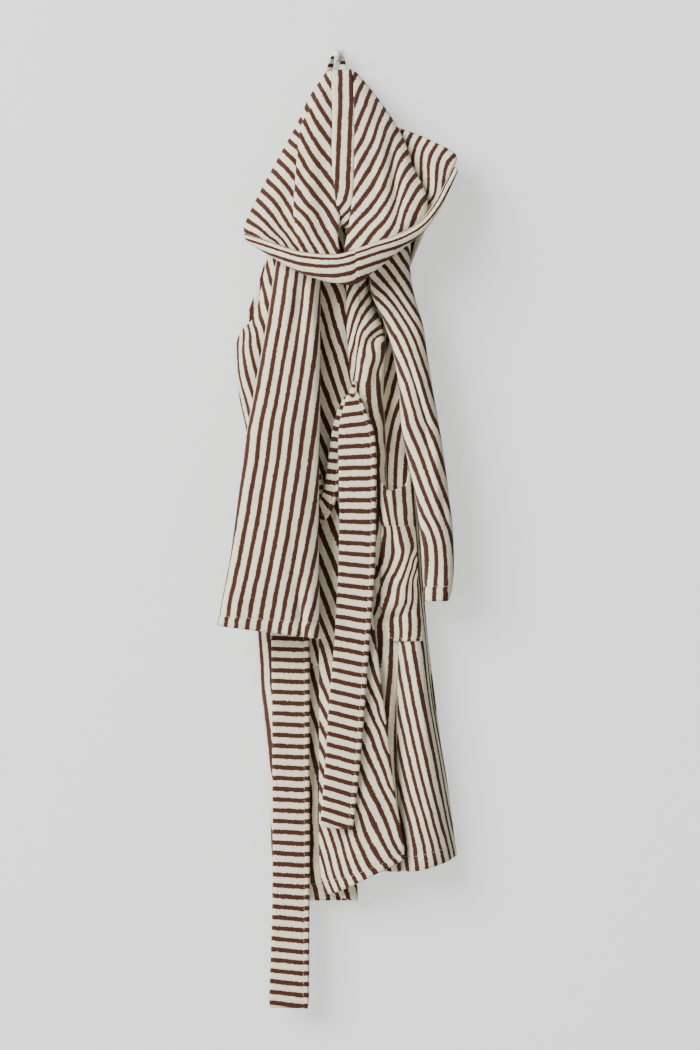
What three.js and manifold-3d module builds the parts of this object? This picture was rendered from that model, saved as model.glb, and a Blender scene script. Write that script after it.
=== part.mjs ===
// A hooded bathrobe of striped terry, hung by its neck loop on a small wall hook.
// Millimetres. The origin is the middle of the hook's back face, on the wall plane y = 0.
// +X is the wearer's left, +Z is up, and the cloth hangs on the -Y side of the wall.

import * as THREE from "three";
import { mergeVertices } from "three/addons/utils/BufferGeometryUtils.js";
import Module from "manifold-3d";

const wasm = await Module();
wasm.setup();

// ---- driving dimensions -------------------------------------------------------------------

const CLOTH = 3;            // thickness of the terry
const BELT_CLOTH = 5;       // the belt is two layers sewn together
const SEAM_GAP = 0.3;       // between two pieces that are sewn together
const FOLD_RADIUS = 4.5;    // a folded edge goes round this radius
const LAYER = CLOTH + SEAM_GAP;

const PLATE = { width: 15, height: 32, depth: 4, corner: 6, middle: -6 };
const PEG = { radius: 3.6, reach: 24, height: -3, knobRadius: 5.6, knobHeight: 1 };
const LOOP_WIDTH = 8;

const ECRU = 0xd6d3c6;
const HOOK_GREY = 0xdcdcda;

// ---- cloth walls --------------------------------------------------------------------------

// Reads a short table: one row for each section, one [x, y] or [x, y, rise] for each named line.
// A line named in folds is a folded edge, which turns at +x or at -x with a round of its own.
function sectionsOf({ lines, folds = {}, rows }) {
  return rows.map(([z, ...stations]) => stations.flatMap(([x, y, rise = 0], index) => {
    const turn = folds[lines[index]];
    if (!turn) return [new THREE.Vector3(x, y, z + rise)];
    const back = x - turn * FOLD_RADIUS;
    return [
      new THREE.Vector3(back, y + FOLD_RADIUS, z + rise),
      new THREE.Vector3(x, y, z + rise),
      new THREE.Vector3(back, y - FOLD_RADIUS, z + rise),
    ];
  }));
}

// A smooth curve through the points, with a fixed number of steps in each stretch.
function smooth(points, steps, closed = false) {
  const curve = new THREE.CatmullRomCurve3(points, closed, "centripetal");
  const stretches = closed ? points.length : points.length - 1;
  const samples = curve.getPoints(stretches * steps);
  return closed ? samples.slice(0, -1) : samples;
}

// Fills in a sheet between its sections: smooth across each section, then smooth down the cloth.
function sheet(sections, across, down, closed = false) {
  const rows = sections.map((section) => smooth(section, across, closed));
  const columns = rows[0].map((_, j) => smooth(rows.map((row) => row[j]), down));
  return columns[0].map((_, i) => columns.map((column) => column[i]));
}

function normalAt(grid, i, j, closed) {
  const last = grid[0].length - 1;
  const left = closed ? (j + last) % (last + 1) : Math.max(j - 1, 0);
  const right = closed ? (j + 1) % (last + 1) : Math.min(j + 1, last);
  const along = grid[Math.min(i + 1, grid.length - 1)][j].clone().sub(grid[Math.max(i - 1, 0)][j]);
  const across = grid[i][right].clone().sub(grid[i][left]);
  return along.cross(across).normalize();
}

// The sheet moved out along its own normals.
function movedOut(grid, distance, closed = false) {
  return grid.map((row, i) => row.map((point, j) => {
    const push = typeof distance === "function" ? distance(i, j) : distance;
    return point.clone().addScaledVector(normalAt(grid, i, j, closed), push);
  }));
}

// A closed wall of even thickness round a sheet. A closed sheet is a tube, open at both ends.
function wall(grid, thickness = CLOTH, closed = false) {
  const faces = [movedOut(grid, thickness / 2, closed), movedOut(grid, -thickness / 2, closed)];
  const count = grid[0].length;
  const size = grid.length * count;
  const positions = faces.flat(2).flatMap((point) => point.toArray());
  const outer = (i, j) => i * count + (j % count);
  const inner = (i, j) => size + outer(i, j);
  const triangles = [];
  const quad = (a, b, c, d) => triangles.push(a, b, c, a, c, d);
  const cells = closed ? count : count - 1;
  for (let i = 0; i < grid.length - 1; i += 1) {
    for (let j = 0; j < cells; j += 1) {
      quad(outer(i, j), outer(i + 1, j), outer(i + 1, j + 1), outer(i, j + 1));
      quad(inner(i, j), inner(i, j + 1), inner(i + 1, j + 1), inner(i + 1, j));
    }
    if (!closed) {
      quad(outer(i, 0), inner(i, 0), inner(i + 1, 0), outer(i + 1, 0));
      quad(outer(i, cells), outer(i + 1, cells), inner(i + 1, cells), inner(i, cells));
    }
  }
  const end = grid.length - 1;
  for (let j = 0; j < cells; j += 1) {
    quad(outer(0, j), outer(0, j + 1), inner(0, j + 1), inner(0, j));
    quad(outer(end, j), inner(end, j), inner(end, j + 1), outer(end, j + 1));
  }
  return closedBody(positions, triangles);
}

function closedBody(positions, triangles) {
  const geometry = new THREE.BufferGeometry();
  geometry.setAttribute("position", new THREE.Float32BufferAttribute(positions, 3));
  geometry.setIndex(signedVolume(positions, triangles) > 0 ? triangles : triangles.toReversed());
  return geometry;
}

function signedVolume(positions, triangles) {
  let volume = 0;
  const corner = (index) => new THREE.Vector3().fromArray(positions, index * 3);
  for (let t = 0; t < triangles.length; t += 3) {
    const [a, b, c] = [corner(triangles[t]), corner(triangles[t + 1]), corner(triangles[t + 2])];
    volume += a.dot(b.cross(c)) / 6;
  }
  return volume;
}

// A ribbon along a path: each row gives its middle, its width and how far it is turned about
// the path. Unturned, it faces the viewer, and its edges follow the path's bends.
function ribbon(rows, down) {
  const path = rows.map(({ at }) => new THREE.Vector3(...at));
  const facing = new THREE.Vector3(0, 1, 0);
  const sections = rows.map(({ width, turn = 0 }, index) => {
    const ahead = path[Math.min(index + 1, path.length - 1)];
    const behind = path[Math.max(index - 1, 0)];
    const along = ahead.clone().sub(behind).normalize();
    const half = along.clone().cross(facing).normalize().applyAxisAngle(along, turn);
    half.multiplyScalar(width / 2);
    return [path[index].clone().sub(half), path[index], path[index].clone().add(half)];
  });
  return sheet(sections, 1, down);
}

// A flattened tube: each row gives its left and right side and its front and back.
function tube(rows, around, down) {
  const sections = rows.map(([z, left, right, front, back, rise = 0]) => {
    const section = [];
    for (let k = 0; k < around; k += 1) {
      const angle = (2 * Math.PI * k) / around;
      const flat = (value) => Math.sign(value) * Math.abs(value) ** 0.72;
      const x = (left + right) / 2 + (flat(Math.cos(angle)) * (right - left)) / 2;
      const y = (front + back) / 2 + (flat(Math.sin(angle)) * (back - front)) / 2;
      section.push(new THREE.Vector3(x, y, z + rise * (x - left) / (right - left)));
    }
    return section;
  });
  return sheet(sections, 1, down, true);
}

// ---- sections of the body -----------------------------------------------------------------

const BACK = {
  lines: ["right", "rightFlute", "middle", "leftFlute", "left"],
  rows: [
    [-26, [-12, -8], [-5, -8], [1, -8], [7, -8], [13, -8]],
    [-66, [-30, -8], [-14, -8], [5, -8], [24, -8], [42, -8]],
    [-120, [-54, -8], [-26, -7], [10, -8], [46, -7], [76, -8]],
    [-200, [-82, -8], [-40, -7], [8, -9], [54, -7], [97, -8]],
    [-300, [-104, -8], [-52, -7], [0, -9], [50, -7], [92, -8]],
    [-390, [-134, -8], [-66, -7], [-14, -9], [44, -7], [90, -8]],
    [-430, [-142, -8], [-72, -7], [-16, -9], [42, -7], [94, -8]],
    [-533, [-124, -8], [-66, -7], [-12, -9], [48, -7], [102, -8]],
    [-640, [-118, -8], [-62, -6], [-4, -9], [54, -6], [112, -8]],
    [-811, [-110, -8], [-56, -6], [6, -10], [64, -6], [126, -8]],
    [-1000, [-97, -8], [-44, -6], [20, -10], [84, -6], [149, -8]],
    [-1184, [-89, -8], [-30, -6, 14], [30, -10, 30], [98, -6, 46], [165, -8, 60]],
  ],
};

const FRONT_RIGHT = {
  lines: ["side", "hip", "inner", "outer", "middle", "free"],
  folds: { inner: 1, outer: -1 },
  rows: [
    [-150, [-58, -11.3], [-46, -18], [-20, -19], [-34, -30], [-16, -37], [2, -34]],
    [-230, [-84, -11.3], [-66, -20], [-14, -19], [-34, -30], [-12, -37], [10, -33]],
    [-300, [-101, -11.3], [-82, -22], [-14, -19], [-34, -30], [-10, -37], [12, -33]],
    [-366, [-116, -11.3], [-100, -25], [-14, -19], [-34, -30], [-8, -37], [14, -34]],
    [-395, [-138, -11.3], [-122, -30], [-14, -19], [-34, -30], [-8, -37], [15, -34]],
    [-430, [-143, -11.3], [-126, -33], [-14, -19], [-34, -30], [-6, -38], [17, -34]],
    [-480, [-137, -11.3], [-120, -30], [-12, -19], [-33, -30], [-2, -38], [22, -35]],
    [-540, [-125, -11.3], [-108, -26], [-8, -19], [-31, -30], [4, -39], [30, -37]],
    [-660, [-116, -11.3], [-95, -22], [4, -19], [-27, -30], [12, -41], [39, -43]],
    [-760, [-113, -11.3], [-92, -25], [11, -19], [-25, -31], [15, -43], [46, -47]],
    [-858, [-108, -11.3], [-87, -27], [16, -19], [-24, -31], [17, -46], [57, -50]],
    [-935, [-103, -11.3], [-82, -28], [20, -19], [-24, -31], [20, -47], [67, -51]],
    [-1040, [-94, -11.3], [-76, -29], [24, -19], [-24, -31], [24, -50], [80, -52]],
    [-1140, [-91, -11.3], [-74, -30], [26, -19], [-23, -31], [26, -52, 4], [92, -54, 30]],
    [-1182, [-90, -11.3], [-73, -30, -4], [27, -19, -6], [-16, -31, 4], [26, -52, 20], [93, -54, 54]],
  ],
};

const FRONT_LEFT = {
  lines: ["free", "lobe", "turn", "recess", "rise", "flute", "side"],
  rows: [
    [-150, [8, -35], [24, -37], [38, -32], [46, -24], [56, -20], [70, -17], [82, -11.8]],
    [-230, [12, -42], [27, -47], [38, -42], [44, -26], [58, -20], [76, -17], [92, -11.8]],
    [-325, [14, -45], [28, -53], [38, -47], [43, -26], [58, -19], [76, -17], [90, -11.8]],
    [-360, [14, -46], [30, -55], [47, -49], [54, -27], [62, -19], [76, -17], [90, -11.8]],
    [-392, [15, -46], [32, -56], [60, -50], [65, -27], [70, -19], [80, -17], [91, -11.8]],
    [-430, [18, -47], [35, -57], [62, -51], [66, -28], [72, -19], [82, -17], [93, -11.8]],
    [-475, [23, -47], [36, -55], [56, -51], [63, -30], [73, -19], [84, -17], [97, -11.8]],
    [-535, [30, -46], [40, -52], [58, -47], [66, -31], [76, -21], [88, -18], [103, -11.8]],
    [-610, [42, -48], [48, -51], [59, -46], [68, -37], [82, -36], [99, -31], [110, -11.8]],
    [-665, [46, -46], [51, -49], [60, -45], [70, -39], [88, -44], [106, -38], [115, -11.8]],
    [-766, [51, -35], [56, -36], [62, -37], [76, -38], [94, -46], [112, -40], [121, -11.8]],
    [-822, [46, -34], [58, -36], [70, -37], [84, -34], [100, -46], [117, -40], [126, -11.8]],
    [-906, [40, -35], [60, -37], [74, -37], [84, -29], [100, -45], [122, -42], [134, -11.8]],
    [-1018, [36, -37], [62, -40], [78, -38], [84, -29], [106, -48], [138, -43], [153, -11.8]],
    [-1126, [36, -40, -18], [66, -42, -19], [82, -40, -20], [90, -30, -20], [113, -51, -18], [148, -45, -8],
      [167, -11.8]],
  ],
};

// ---- sections of the sleeves: height, left side, right side, front, back, rise --------------

const SLEEVE_RIGHT = [
  [-222, -64, -12, -64, -38.4],
  [-293, -84, -22, -70, -40],
  [-366, -95, -25, -79, -42],
  [-423, -105, -25, -84, -44],
  [-483, -116, -25, -88, -47],
  [-540, -126, -26, -90, -51],
  [-633, -138, -27, -91, -55],
  [-703, -147, -27, -91, -57],
  [-766, -159, -26, -92, -59],
  [-800, -165, -25, -92, -60, -18],
];

const SLEEVE_LEFT = [
  [-236, 48.6, 104, -62, -22],
  [-301, 45.2, 101, -66, -22],
  [-340, 51, 107, -68, -22.5],
  [-382, 69, 119, -68, -24],
  [-430, 82, 126, -68, -24],
  [-473, 92, 133, -68, -24],
  [-531, 102, 143, -70, -24],
  [-578, 113, 150, -70, -22],
  [-627, 121, 156, -70, -22],
  [-670, 125, 161, -70, -22],
  [-740, 127, 161, -70, -22],
  [-766, 124, 158, -69, -22],
];

// ---- sections of the hood: each line runs from the tip down to the brim --------------------

const HOOD_CENTRE = [
  { at: [6, -27, -22], width: 26 },
  { at: [7.5, -36, -42], width: 28 },
  { at: [8.5, -56, -108], width: 30 },
  { at: [8.3, -70, -155], width: 28 },
  { at: [10.5, -79, -196], width: 21 },
  { at: [12.5, -80, -222], width: 14 },
  { at: [11, -77, -244], width: 7 },
];

// The wearer's right half, on the -X side: seam, fold, tuck, side, outline, neck.
const HOOD_RIGHT = [
    [[-8, -26, -23], [-10, -25, -24], [-12, -23, -24], [-14, -21, -25], [-16, -17, -26], [-13, -12, -27]],
    [[-8, -41, -60], [-24, -40, -60], [-28, -36, -60], [-33, -32, -60], [-38, -26, -60], [-30, -13, -60]],
    [[-8, -53, -97], [-47, -49, -97], [-46, -42, -97], [-50, -37, -97], [-55, -29, -97], [-42, -13, -97]],
    [[-8, -64, -136], [-53, -61, -136], [-50, -53, -136], [-62, -48, -136], [-76, -34, -136], [-56, -13, -136]],
    [[-5, -74, -179], [-57, -72, -179], [-53, -63, -179], [-76, -58, -179], [-99, -42, -179], [-72, -13, -179]],
    [[3, -83, -226], [-59, -84, -226], [-55, -74, -226], [-90, -70, -226], [-122, -52, -226], [-88, -14, -226]],
    [[3, -92, -258], [-54, -93, -260], [-50, -84, -258], [-90, -78, -254], [-129, -57, -246], [-94, -15, -242]],
    [[3, -99, -286], [-50, -96, -282], [-47, -89, -279], [-87, -80, -270], [-127, -59, -257], [-97, -17, -250]],
    [[3, -98, -308], [-48, -92, -298], [-45, -85, -294], [-84, -77, -279], [-120, -53, -258], [-97, -18, -253]],
];

// The wearer's left half, on the +X side: seam, swell, crest, tuck, wing, brim, neck.
const HOOD_LEFT = [
    [[21, -26, -22], [24, -26, -24], [27, -24, -26], [28, -21, -27], [27, -18, -27], [25, -15, -27],
      [22, -10.9, -27]],
    [[24, -41, -58], [38, -40, -59], [54, -34, -60], [53, -28, -60], [50, -23, -60], [46, -18, -60],
      [38, -10.9, -60]],
    [[25, -53, -97], [52, -53, -97], [79, -43, -97], [77, -35, -97], [74, -28, -97], [68, -21, -97],
      [56, -10.9, -97]],
    [[25, -64, -136], [60, -64, -133], [94, -52, -127], [88, -42, -120], [112, -41, -117], [138, -44, -127],
      [100, -10.9, -130]],
    [[24, -74, -179], [68, -76, -172], [105, -61, -161], [97, -50, -156], [132, -50, -148], [166, -52, -145],
      [116, -10.9, -150]],
    [[20, -83, -226], [72, -87, -214], [116, -71, -184], [109, -60, -180], [134, -58, -174], [157, -58, -170],
      [118, -13, -170]],
    [[14, -92, -258], [75, -95, -240], [124, -79, -206], [119, -68, -203], [135, -65, -197], [148, -63, -190],
      [118, -14, -190]],
    [[10, -99, -286], [74, -98, -261], [122, -82, -230], [122, -73, -227], [134, -68, -215], [142, -65, -205],
      [117, -15, -205]],
    [[10, -98, -308], [70, -94, -280], [114, -80, -246], [117, -71, -241], [128, -66, -228], [134, -62, -218],
      [116, -16, -214]],
];

// The brim, turned up as a band, along its length: inside foot, underside, front, lip, rolled edge.
const HOOD_BAND = [
  [[-119, -63, -264], [-122, -67, -266], [-126, -72, -263], [-130, -70, -257], [-128, -66, -255]],
  [[-100, -80, -277], [-102, -86, -280], [-104, -92, -275], [-104, -90, -266], [-102, -86, -265]],
  [[-80, -88, -287], [-82, -96, -292], [-84, -102, -285], [-85, -100, -273], [-83, -95, -272]],
  [[-46, -93, -304], [-48, -106, -311], [-50, -114, -300], [-51, -112, -284], [-50, -106, -283]],
  [[-1, -98, -313], [-1, -112, -325], [-1, -122, -310], [-1, -120, -288], [-1, -113, -287]],
  [[24, -97, -310], [25, -111, -326], [25, -121, -310], [24, -120, -282], [23, -113, -281]],
  [[50, -96, -299], [51, -108, -308], [51, -116, -294], [50, -115, -273], [48, -108, -272]],
  [[88, -89, -270], [90, -99, -276], [91, -106, -270], [90, -106, -259], [87, -100, -257]],
  [[114, -83, -252], [117, -92, -255], [118, -98, -252], [117, -97, -243], [113, -92, -242]],
  [[134, -72, -226], [138, -80, -227], [140, -86, -224], [139, -85, -217], [135, -81, -215]],
  [[149, -66, -196], [153, -71, -197], [155, -76, -194], [154, -76, -189], [150, -72, -188]],
  [[161, -61, -168], [164, -64, -170], [167, -68, -168], [167, -69, -163], [164, -66, -162]],
];

// ---- belt -------------------------------------------------------------------------------------

const BELT_SHORT = [
  { at: [21, -66, -478], width: 12, turn: 0.2 },
  { at: [23, -67, -492], width: 22, turn: 0.1 },
  { at: [24, -66, -512], width: 36 },
  { at: [27, -64, -538], width: 47 },
  { at: [28.5, -63, -640], width: 47 },
  { at: [27, -62, -720], width: 47 },
  { at: [21, -62, -815], width: 45 },
  { at: [13, -62, -918], width: 46 },
  { at: [7, -62, -1000], width: 44 },
  { at: [-1, -62, -1083], width: 42 },
];

const BELT_SAG = [
  { at: [16, -60, -484], width: 10 },
  { at: [4, -58.5, -516], width: 12 },
  { at: [-4, -55, -570], width: 14 },
  { at: [-10, -54, -620], width: 15 },
  { at: [-22, -51, -643], width: 17 },
  { at: [-33, -47, -622], width: 24 },
  { at: [-42, -44, -580], width: 30 },
  { at: [-50, -41, -540], width: 24 },
  { at: [-57, -37, -512], width: 16 },
];

// The long tail starts as the bunch that goes through its loop, then turns down.
const BELT_LONG = [
  { at: [-62, -35, -502], width: 14 },
  { at: [-72, -35, -499], width: 13 },
  { at: [-82, -35, -508], width: 16 },
  { at: [-83, -35, -540], width: 28 },
  { at: [-76, -35, -600], width: 44 },
  { at: [-70, -34, -700], width: 48 },
  { at: [-66, -36, -822], width: 49 },
  { at: [-65, -37, -1000], width: 48 },
  { at: [-65, -37, -1184], width: 48 },
  { at: [-68, -36, -1337], width: 52 },
];

// Each loop is a narrow strip, sewn down above and below the bunched belt.
const BELT_LOOP_RIGHT = [
  { at: [-72, -26.5, -480], width: 8 },
  { at: [-72, -35, -484], width: 8 },
  { at: [-72, -39.6, -499], width: 8 },
  { at: [-70, -38.4, -510], width: 6.5 },
  { at: [-69, -24.9, -516], width: 6 },
];
const BELT_LOOP_LEFT = [
  { at: [25, -53.5, -460], width: 5 },
  { at: [24, -61, -463], width: 5 },
  { at: [22, -69.5, -471], width: 5 },
  { at: [20.5, -70.8, -482], width: 5 },
];

// ---- pockets, each laid on its front: rows and lines of the front's grid that it covers -----

const POCKET_LEFT = { rows: [16, 22], lines: [6, 15], gape: 13 };
const POCKET_RIGHT = { rows: [16, 20], lines: [2.2, 3.3], gape: 4 };
const POCKET_STEPS = 9;

// ---- the pieces -----------------------------------------------------------------------------

const group = new THREE.Group();

function add(name, geometry, color = ECRU, roughness = 0.95) {
  const material = new THREE.MeshStandardMaterial({ color, roughness, metalness: 0 });
  const mesh = new THREE.Mesh(geometry, material);
  mesh.name = name;
  group.add(mesh);
}

function solidOf(geometry) {
  const bare = geometry.clone();
  bare.deleteAttribute("normal");
  bare.deleteAttribute("uv");
  const merged = mergeVertices(bare);
  const vertProperties = new Float32Array(merged.attributes.position.array);
  const triVerts = new Uint32Array(merged.index.array);
  return new wasm.Manifold(new wasm.Mesh({ numProp: 3, vertProperties, triVerts }));
}

function geometryOf(solid) {
  const { vertProperties, triVerts } = solid.getMesh();
  const geometry = new THREE.BufferGeometry();
  geometry.setAttribute("position", new THREE.BufferAttribute(vertProperties, 3));
  geometry.setIndex(new THREE.BufferAttribute(triVerts, 1));
  return geometry;
}

// A plate with round corners on the wall, and a peg that ends in a round knob.
function wallHook() {
  const outline = new THREE.Shape();
  const { width, height, depth, corner, middle } = PLATE;
  const [x, z] = [width / 2, height / 2];
  outline.moveTo(-x + corner, -z);
  outline.lineTo(x - corner, -z);
  outline.absarc(x - corner, -z + corner, corner, -Math.PI / 2, 0);
  outline.absarc(x - corner, z - corner, corner, 0, Math.PI / 2);
  outline.absarc(-x + corner, z - corner, corner, Math.PI / 2, Math.PI);
  outline.absarc(-x + corner, -z + corner, corner, Math.PI, 1.5 * Math.PI);
  const plate = new THREE.ExtrudeGeometry(outline, { depth, bevelEnabled: false, curveSegments: 6 });
  plate.rotateX(Math.PI / 2).translate(0, 0, middle);
  const length = PEG.reach - depth / 2;
  const peg = new THREE.CylinderGeometry(PEG.radius, PEG.radius, length, 16);
  peg.translate(0, -depth / 2 - length / 2, PEG.height);
  const knob = new THREE.SphereGeometry(PEG.knobRadius, 16, 10);
  knob.translate(0, -PEG.reach, PEG.knobHeight);
  return geometryOf(solidOf(plate).add(solidOf(peg)).add(solidOf(knob)));
}

// The loop goes up from the neck seam, over the peg behind its knob and down again.
function hangerLoop() {
  const top = PEG.height + PEG.radius + SEAM_GAP + CLOTH / 4 + 0.4;
  const side = PEG.radius + 4.2;
  const path = [
    [-side - 5, -12.6, -25], [-side - 1, -13, -12], [-side + 1, -13, -3], [-side + 3.4, -13, top - 2.2],
    [0, -13, top + 1.2], [side - 3.4, -13, top - 2.2], [side - 1, -13, -3], [side, -13, -10], [side + 1, -12.6, -20],
  ];
  const middle = smooth(path.map((point) => new THREE.Vector3(...point)), 2);
  const half = new THREE.Vector3(0, LOOP_WIDTH / 2, 0);
  const grid = middle.map((point) => [point.clone().sub(half), point, point.clone().add(half)]);
  return wall(grid, CLOTH / 2);
}

// A point between the grid's lines, on the flat of its cell.
function pointOn(grid, i, j) {
  const row = Math.min(Math.floor(i), grid.length - 2);
  const line = Math.min(Math.floor(j), grid[0].length - 2);
  const above = grid[row][line].clone().lerp(grid[row][line + 1], j - line);
  const below = grid[row + 1][line].clone().lerp(grid[row + 1][line + 1], j - line);
  return above.lerp(below, i - row);
}

// A pocket is made from the points of its front, moved out, and it gapes at the mouth.
function pocket(front, { rows, lines, gape }) {
  const steps = Array.from({ length: POCKET_STEPS + 1 }, (_, k) => k / POCKET_STEPS);
  const at = ([first, last], share) => first + (last - first) * share;
  const base = steps.map((down) => steps.map((over) => pointOn(front, at(rows, down), at(lines, over))));
  const raised = (i, j) => {
    const open = Math.sin(Math.PI * steps[j]) * (1 - steps[i]) ** 1.5;
    return LAYER + 0.4 + gape * open;
  };
  return movedOut(base, raised);
}

const vectors = (rows) => rows.map((row) => row.map((point) => new THREE.Vector3(...point)));

const back = sheet(sectionsOf(BACK), 2, 2);
const frontRight = sheet(sectionsOf(FRONT_RIGHT), 2, 2);
const frontLeft = sheet(sectionsOf(FRONT_LEFT), 3, 2);

add("wall_hook", wallHook(), HOOK_GREY, 0.4);
add("hanger_loop", hangerLoop());
add("back", wall(back));
add("front_right", wall(frontRight));
add("front_left", wall(frontLeft));
add("sleeve_right", wall(tube(SLEEVE_RIGHT, 16, 1), CLOTH, true));
add("sleeve_left", wall(tube(SLEEVE_LEFT, 16, 1), CLOTH, true));
add("hood_centre", wall(ribbon(HOOD_CENTRE, 3)));
add("hood_right", wall(sheet(vectors(HOOD_RIGHT), 3, 2)));
add("hood_left", wall(sheet(vectors(HOOD_LEFT), 3, 2)));
add("hood_band", wall(sheet(vectors(HOOD_BAND), 2, 2)));
add("pocket_left", wall(pocket(frontLeft, POCKET_LEFT)));
add("pocket_right", wall(pocket(frontRight, POCKET_RIGHT)));
add("belt_loop_left", wall(ribbon(BELT_LOOP_LEFT, 2), CLOTH / 2));
add("belt_loop_right", wall(ribbon(BELT_LOOP_RIGHT, 2), CLOTH / 2));
add("belt_short_tail", wall(ribbon(BELT_SHORT, 2), BELT_CLOTH));
add("belt_sag", wall(ribbon(BELT_SAG, 3), BELT_CLOTH));
add("belt_long_tail", wall(ribbon(BELT_LONG, 2), BELT_CLOTH));

export default group;
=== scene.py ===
import math

import bpy
import numpy as np
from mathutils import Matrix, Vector


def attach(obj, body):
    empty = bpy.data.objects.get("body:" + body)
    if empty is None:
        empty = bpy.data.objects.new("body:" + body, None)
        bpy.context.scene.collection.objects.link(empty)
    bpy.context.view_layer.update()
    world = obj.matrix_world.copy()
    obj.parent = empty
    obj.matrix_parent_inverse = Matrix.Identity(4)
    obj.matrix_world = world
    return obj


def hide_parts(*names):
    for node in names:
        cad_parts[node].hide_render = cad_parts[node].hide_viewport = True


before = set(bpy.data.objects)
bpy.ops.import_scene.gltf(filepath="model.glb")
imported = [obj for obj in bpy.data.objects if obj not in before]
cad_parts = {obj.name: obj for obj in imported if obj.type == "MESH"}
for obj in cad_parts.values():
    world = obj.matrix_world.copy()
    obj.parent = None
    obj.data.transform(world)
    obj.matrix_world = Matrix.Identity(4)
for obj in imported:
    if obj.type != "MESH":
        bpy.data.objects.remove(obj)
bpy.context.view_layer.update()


# ---- the room -----------------------------------------------------------------------------
# A plain pale wall that the hook is fixed to, a plain pale floor a little below the belt's
# end, and soft daylight from the upper left.

def bare_material(name, colour, roughness=0.9):
    material = bpy.data.materials.new(name)
    material.use_nodes = True
    shader = material.node_tree.nodes["Principled BSDF"]
    shader.inputs["Base Color"].default_value = (*colour, 1)
    shader.inputs["Roughness"].default_value = roughness
    shader.inputs["Specular IOR Level"].default_value = 0.2
    return material


def room_plane(name, middle, size, turn, material):
    bpy.ops.object.select_all(action="DESELECT")
    bpy.ops.mesh.primitive_plane_add(size=1, location=middle, rotation=turn)
    plane = bpy.context.object
    plane.name = name
    plane.scale = (size[0], size[1], 1)
    bpy.ops.object.transform_apply(location=True, rotation=True, scale=True)
    plane.data.materials.append(material)
    return plane


FLOOR_PAINT = (0.80, 0.80, 0.796)
WALL_PAINT = (0.47, 0.47, 0.467)
WALL_GLOW = 0.74      # stands for the light that a pale room throws back on its wall
WALL_BEHIND = 0.0015
FLOOR_LEVEL = -1.62
SKY_STRENGTH = 0.26

wall_paint = bare_material("wall_paint", WALL_PAINT)
nodes, links = wall_paint.node_tree.nodes, wall_paint.node_tree.links
paint = nodes["Principled BSDF"]
paint.inputs["Emission Color"].default_value = (1, 1, 0.995, 1)
paint.inputs["Emission Strength"].default_value = WALL_GLOW
facing = nodes.new("ShaderNodeNewGeometry")
clear = nodes.new("ShaderNodeBsdfTransparent")
either = nodes.new("ShaderNodeMixShader")
links.new(facing.outputs["Backfacing"], either.inputs[0])
links.new(paint.outputs[0], either.inputs[1])
links.new(clear.outputs[0], either.inputs[2])
links.new(either.outputs[0], nodes["Material Output"].inputs["Surface"])

wall = room_plane("room_wall", (0, WALL_BEHIND, 0.4), (9, 7), (math.pi / 2, 0, 0), wall_paint)
wall.visible_diffuse = False
wall.visible_glossy = False
wall.visible_transmission = False
wall.visible_shadow = False
floor = room_plane("room_floor", (0, 0, FLOOR_LEVEL), (9, 9), (0, 0, 0),
                   bare_material("floor_paint", FLOOR_PAINT))

world = bpy.context.scene.world or bpy.data.worlds.new("daylight")
bpy.context.scene.world = world
world.use_nodes = True
sky = world.node_tree.nodes["Background"].inputs
sky["Color"].default_value = (0.97, 0.98, 1, 1)
sky["Strength"].default_value = SKY_STRENGTH


def soft_light(name, place, aim, size, power):
    lamp = bpy.data.lights.new(name, "AREA")
    lamp.shape = "RECTANGLE"
    lamp.size, lamp.size_y = size
    lamp.energy = power
    holder = bpy.data.objects.new(name, lamp)
    bpy.context.collection.objects.link(holder)
    holder.location = place
    holder.rotation_euler = (Vector(aim) - Vector(place)).to_track_quat("-Z", "Y").to_euler()


MIDDLE = (0.018, 0, -0.661)
soft_light("window", (-3.7, -3.6, 2.0), (0, 0, -0.6), (3.8, 3.8), 860)
soft_light("fill", (1.6, -4.4, 0.1), (0, 0, -0.7), (3.2, 3.2), 9)
soft_light("behind", (0.6, 3.0, 0.8), (0, 0, -0.7), (2.4, 2.4), 55)

VIEW_DISTANCE = 6.0
FRAME_HEIGHT = 1.47
ROBE_FRONT = -0.05    # the depth that the frame's height is measured at
eye = bpy.data.cameras.new("eye")
eye.sensor_fit = "VERTICAL"
eye.sensor_height = 36
eye.sensor_width = 36
eye.lens = eye.sensor_height * VIEW_DISTANCE / FRAME_HEIGHT
eye.clip_end = 40
camera = bpy.data.objects.new("eye", eye)
bpy.context.collection.objects.link(camera)
camera.location = (MIDDLE[0], ROBE_FRONT - VIEW_DISTANCE, MIDDLE[2])
camera.rotation_euler = (math.pi / 2, 0, 0)
bpy.context.scene.camera = camera


# ---- the wall hook ------------------------------------------------------------------------
# A small painted metal hook: a plate with round corners screwed flat to the wall, and a peg
# that ends in a round knob, so that the loop can't slide off.

def fine_relief(material, kind, settings, strength, distance):
    """A material with the fine bumps of a texture that is fixed to the piece."""
    nodes, links = material.node_tree.nodes, material.node_tree.links
    place = nodes.new("ShaderNodeTexCoord")
    texture = nodes.new(kind)
    for socket, value in settings.items():
        texture.inputs[socket].default_value = value
    bump = nodes.new("ShaderNodeBump")
    bump.inputs["Strength"].default_value = strength
    bump.inputs["Distance"].default_value = distance
    links.new(place.outputs["Object"], texture.inputs["Vector"])
    links.new(texture.outputs["Fac"], bump.inputs["Height"])
    links.new(bump.outputs["Normal"], nodes["Principled BSDF"].inputs["Normal"])
    return material


def take(piece):
    bpy.ops.object.select_all(action="DESELECT")
    piece.select_set(True)
    bpy.context.view_layer.objects.active = piece


def settle(piece):
    take(piece)
    bpy.ops.object.transform_apply(location=True, rotation=True, scale=True)


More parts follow.
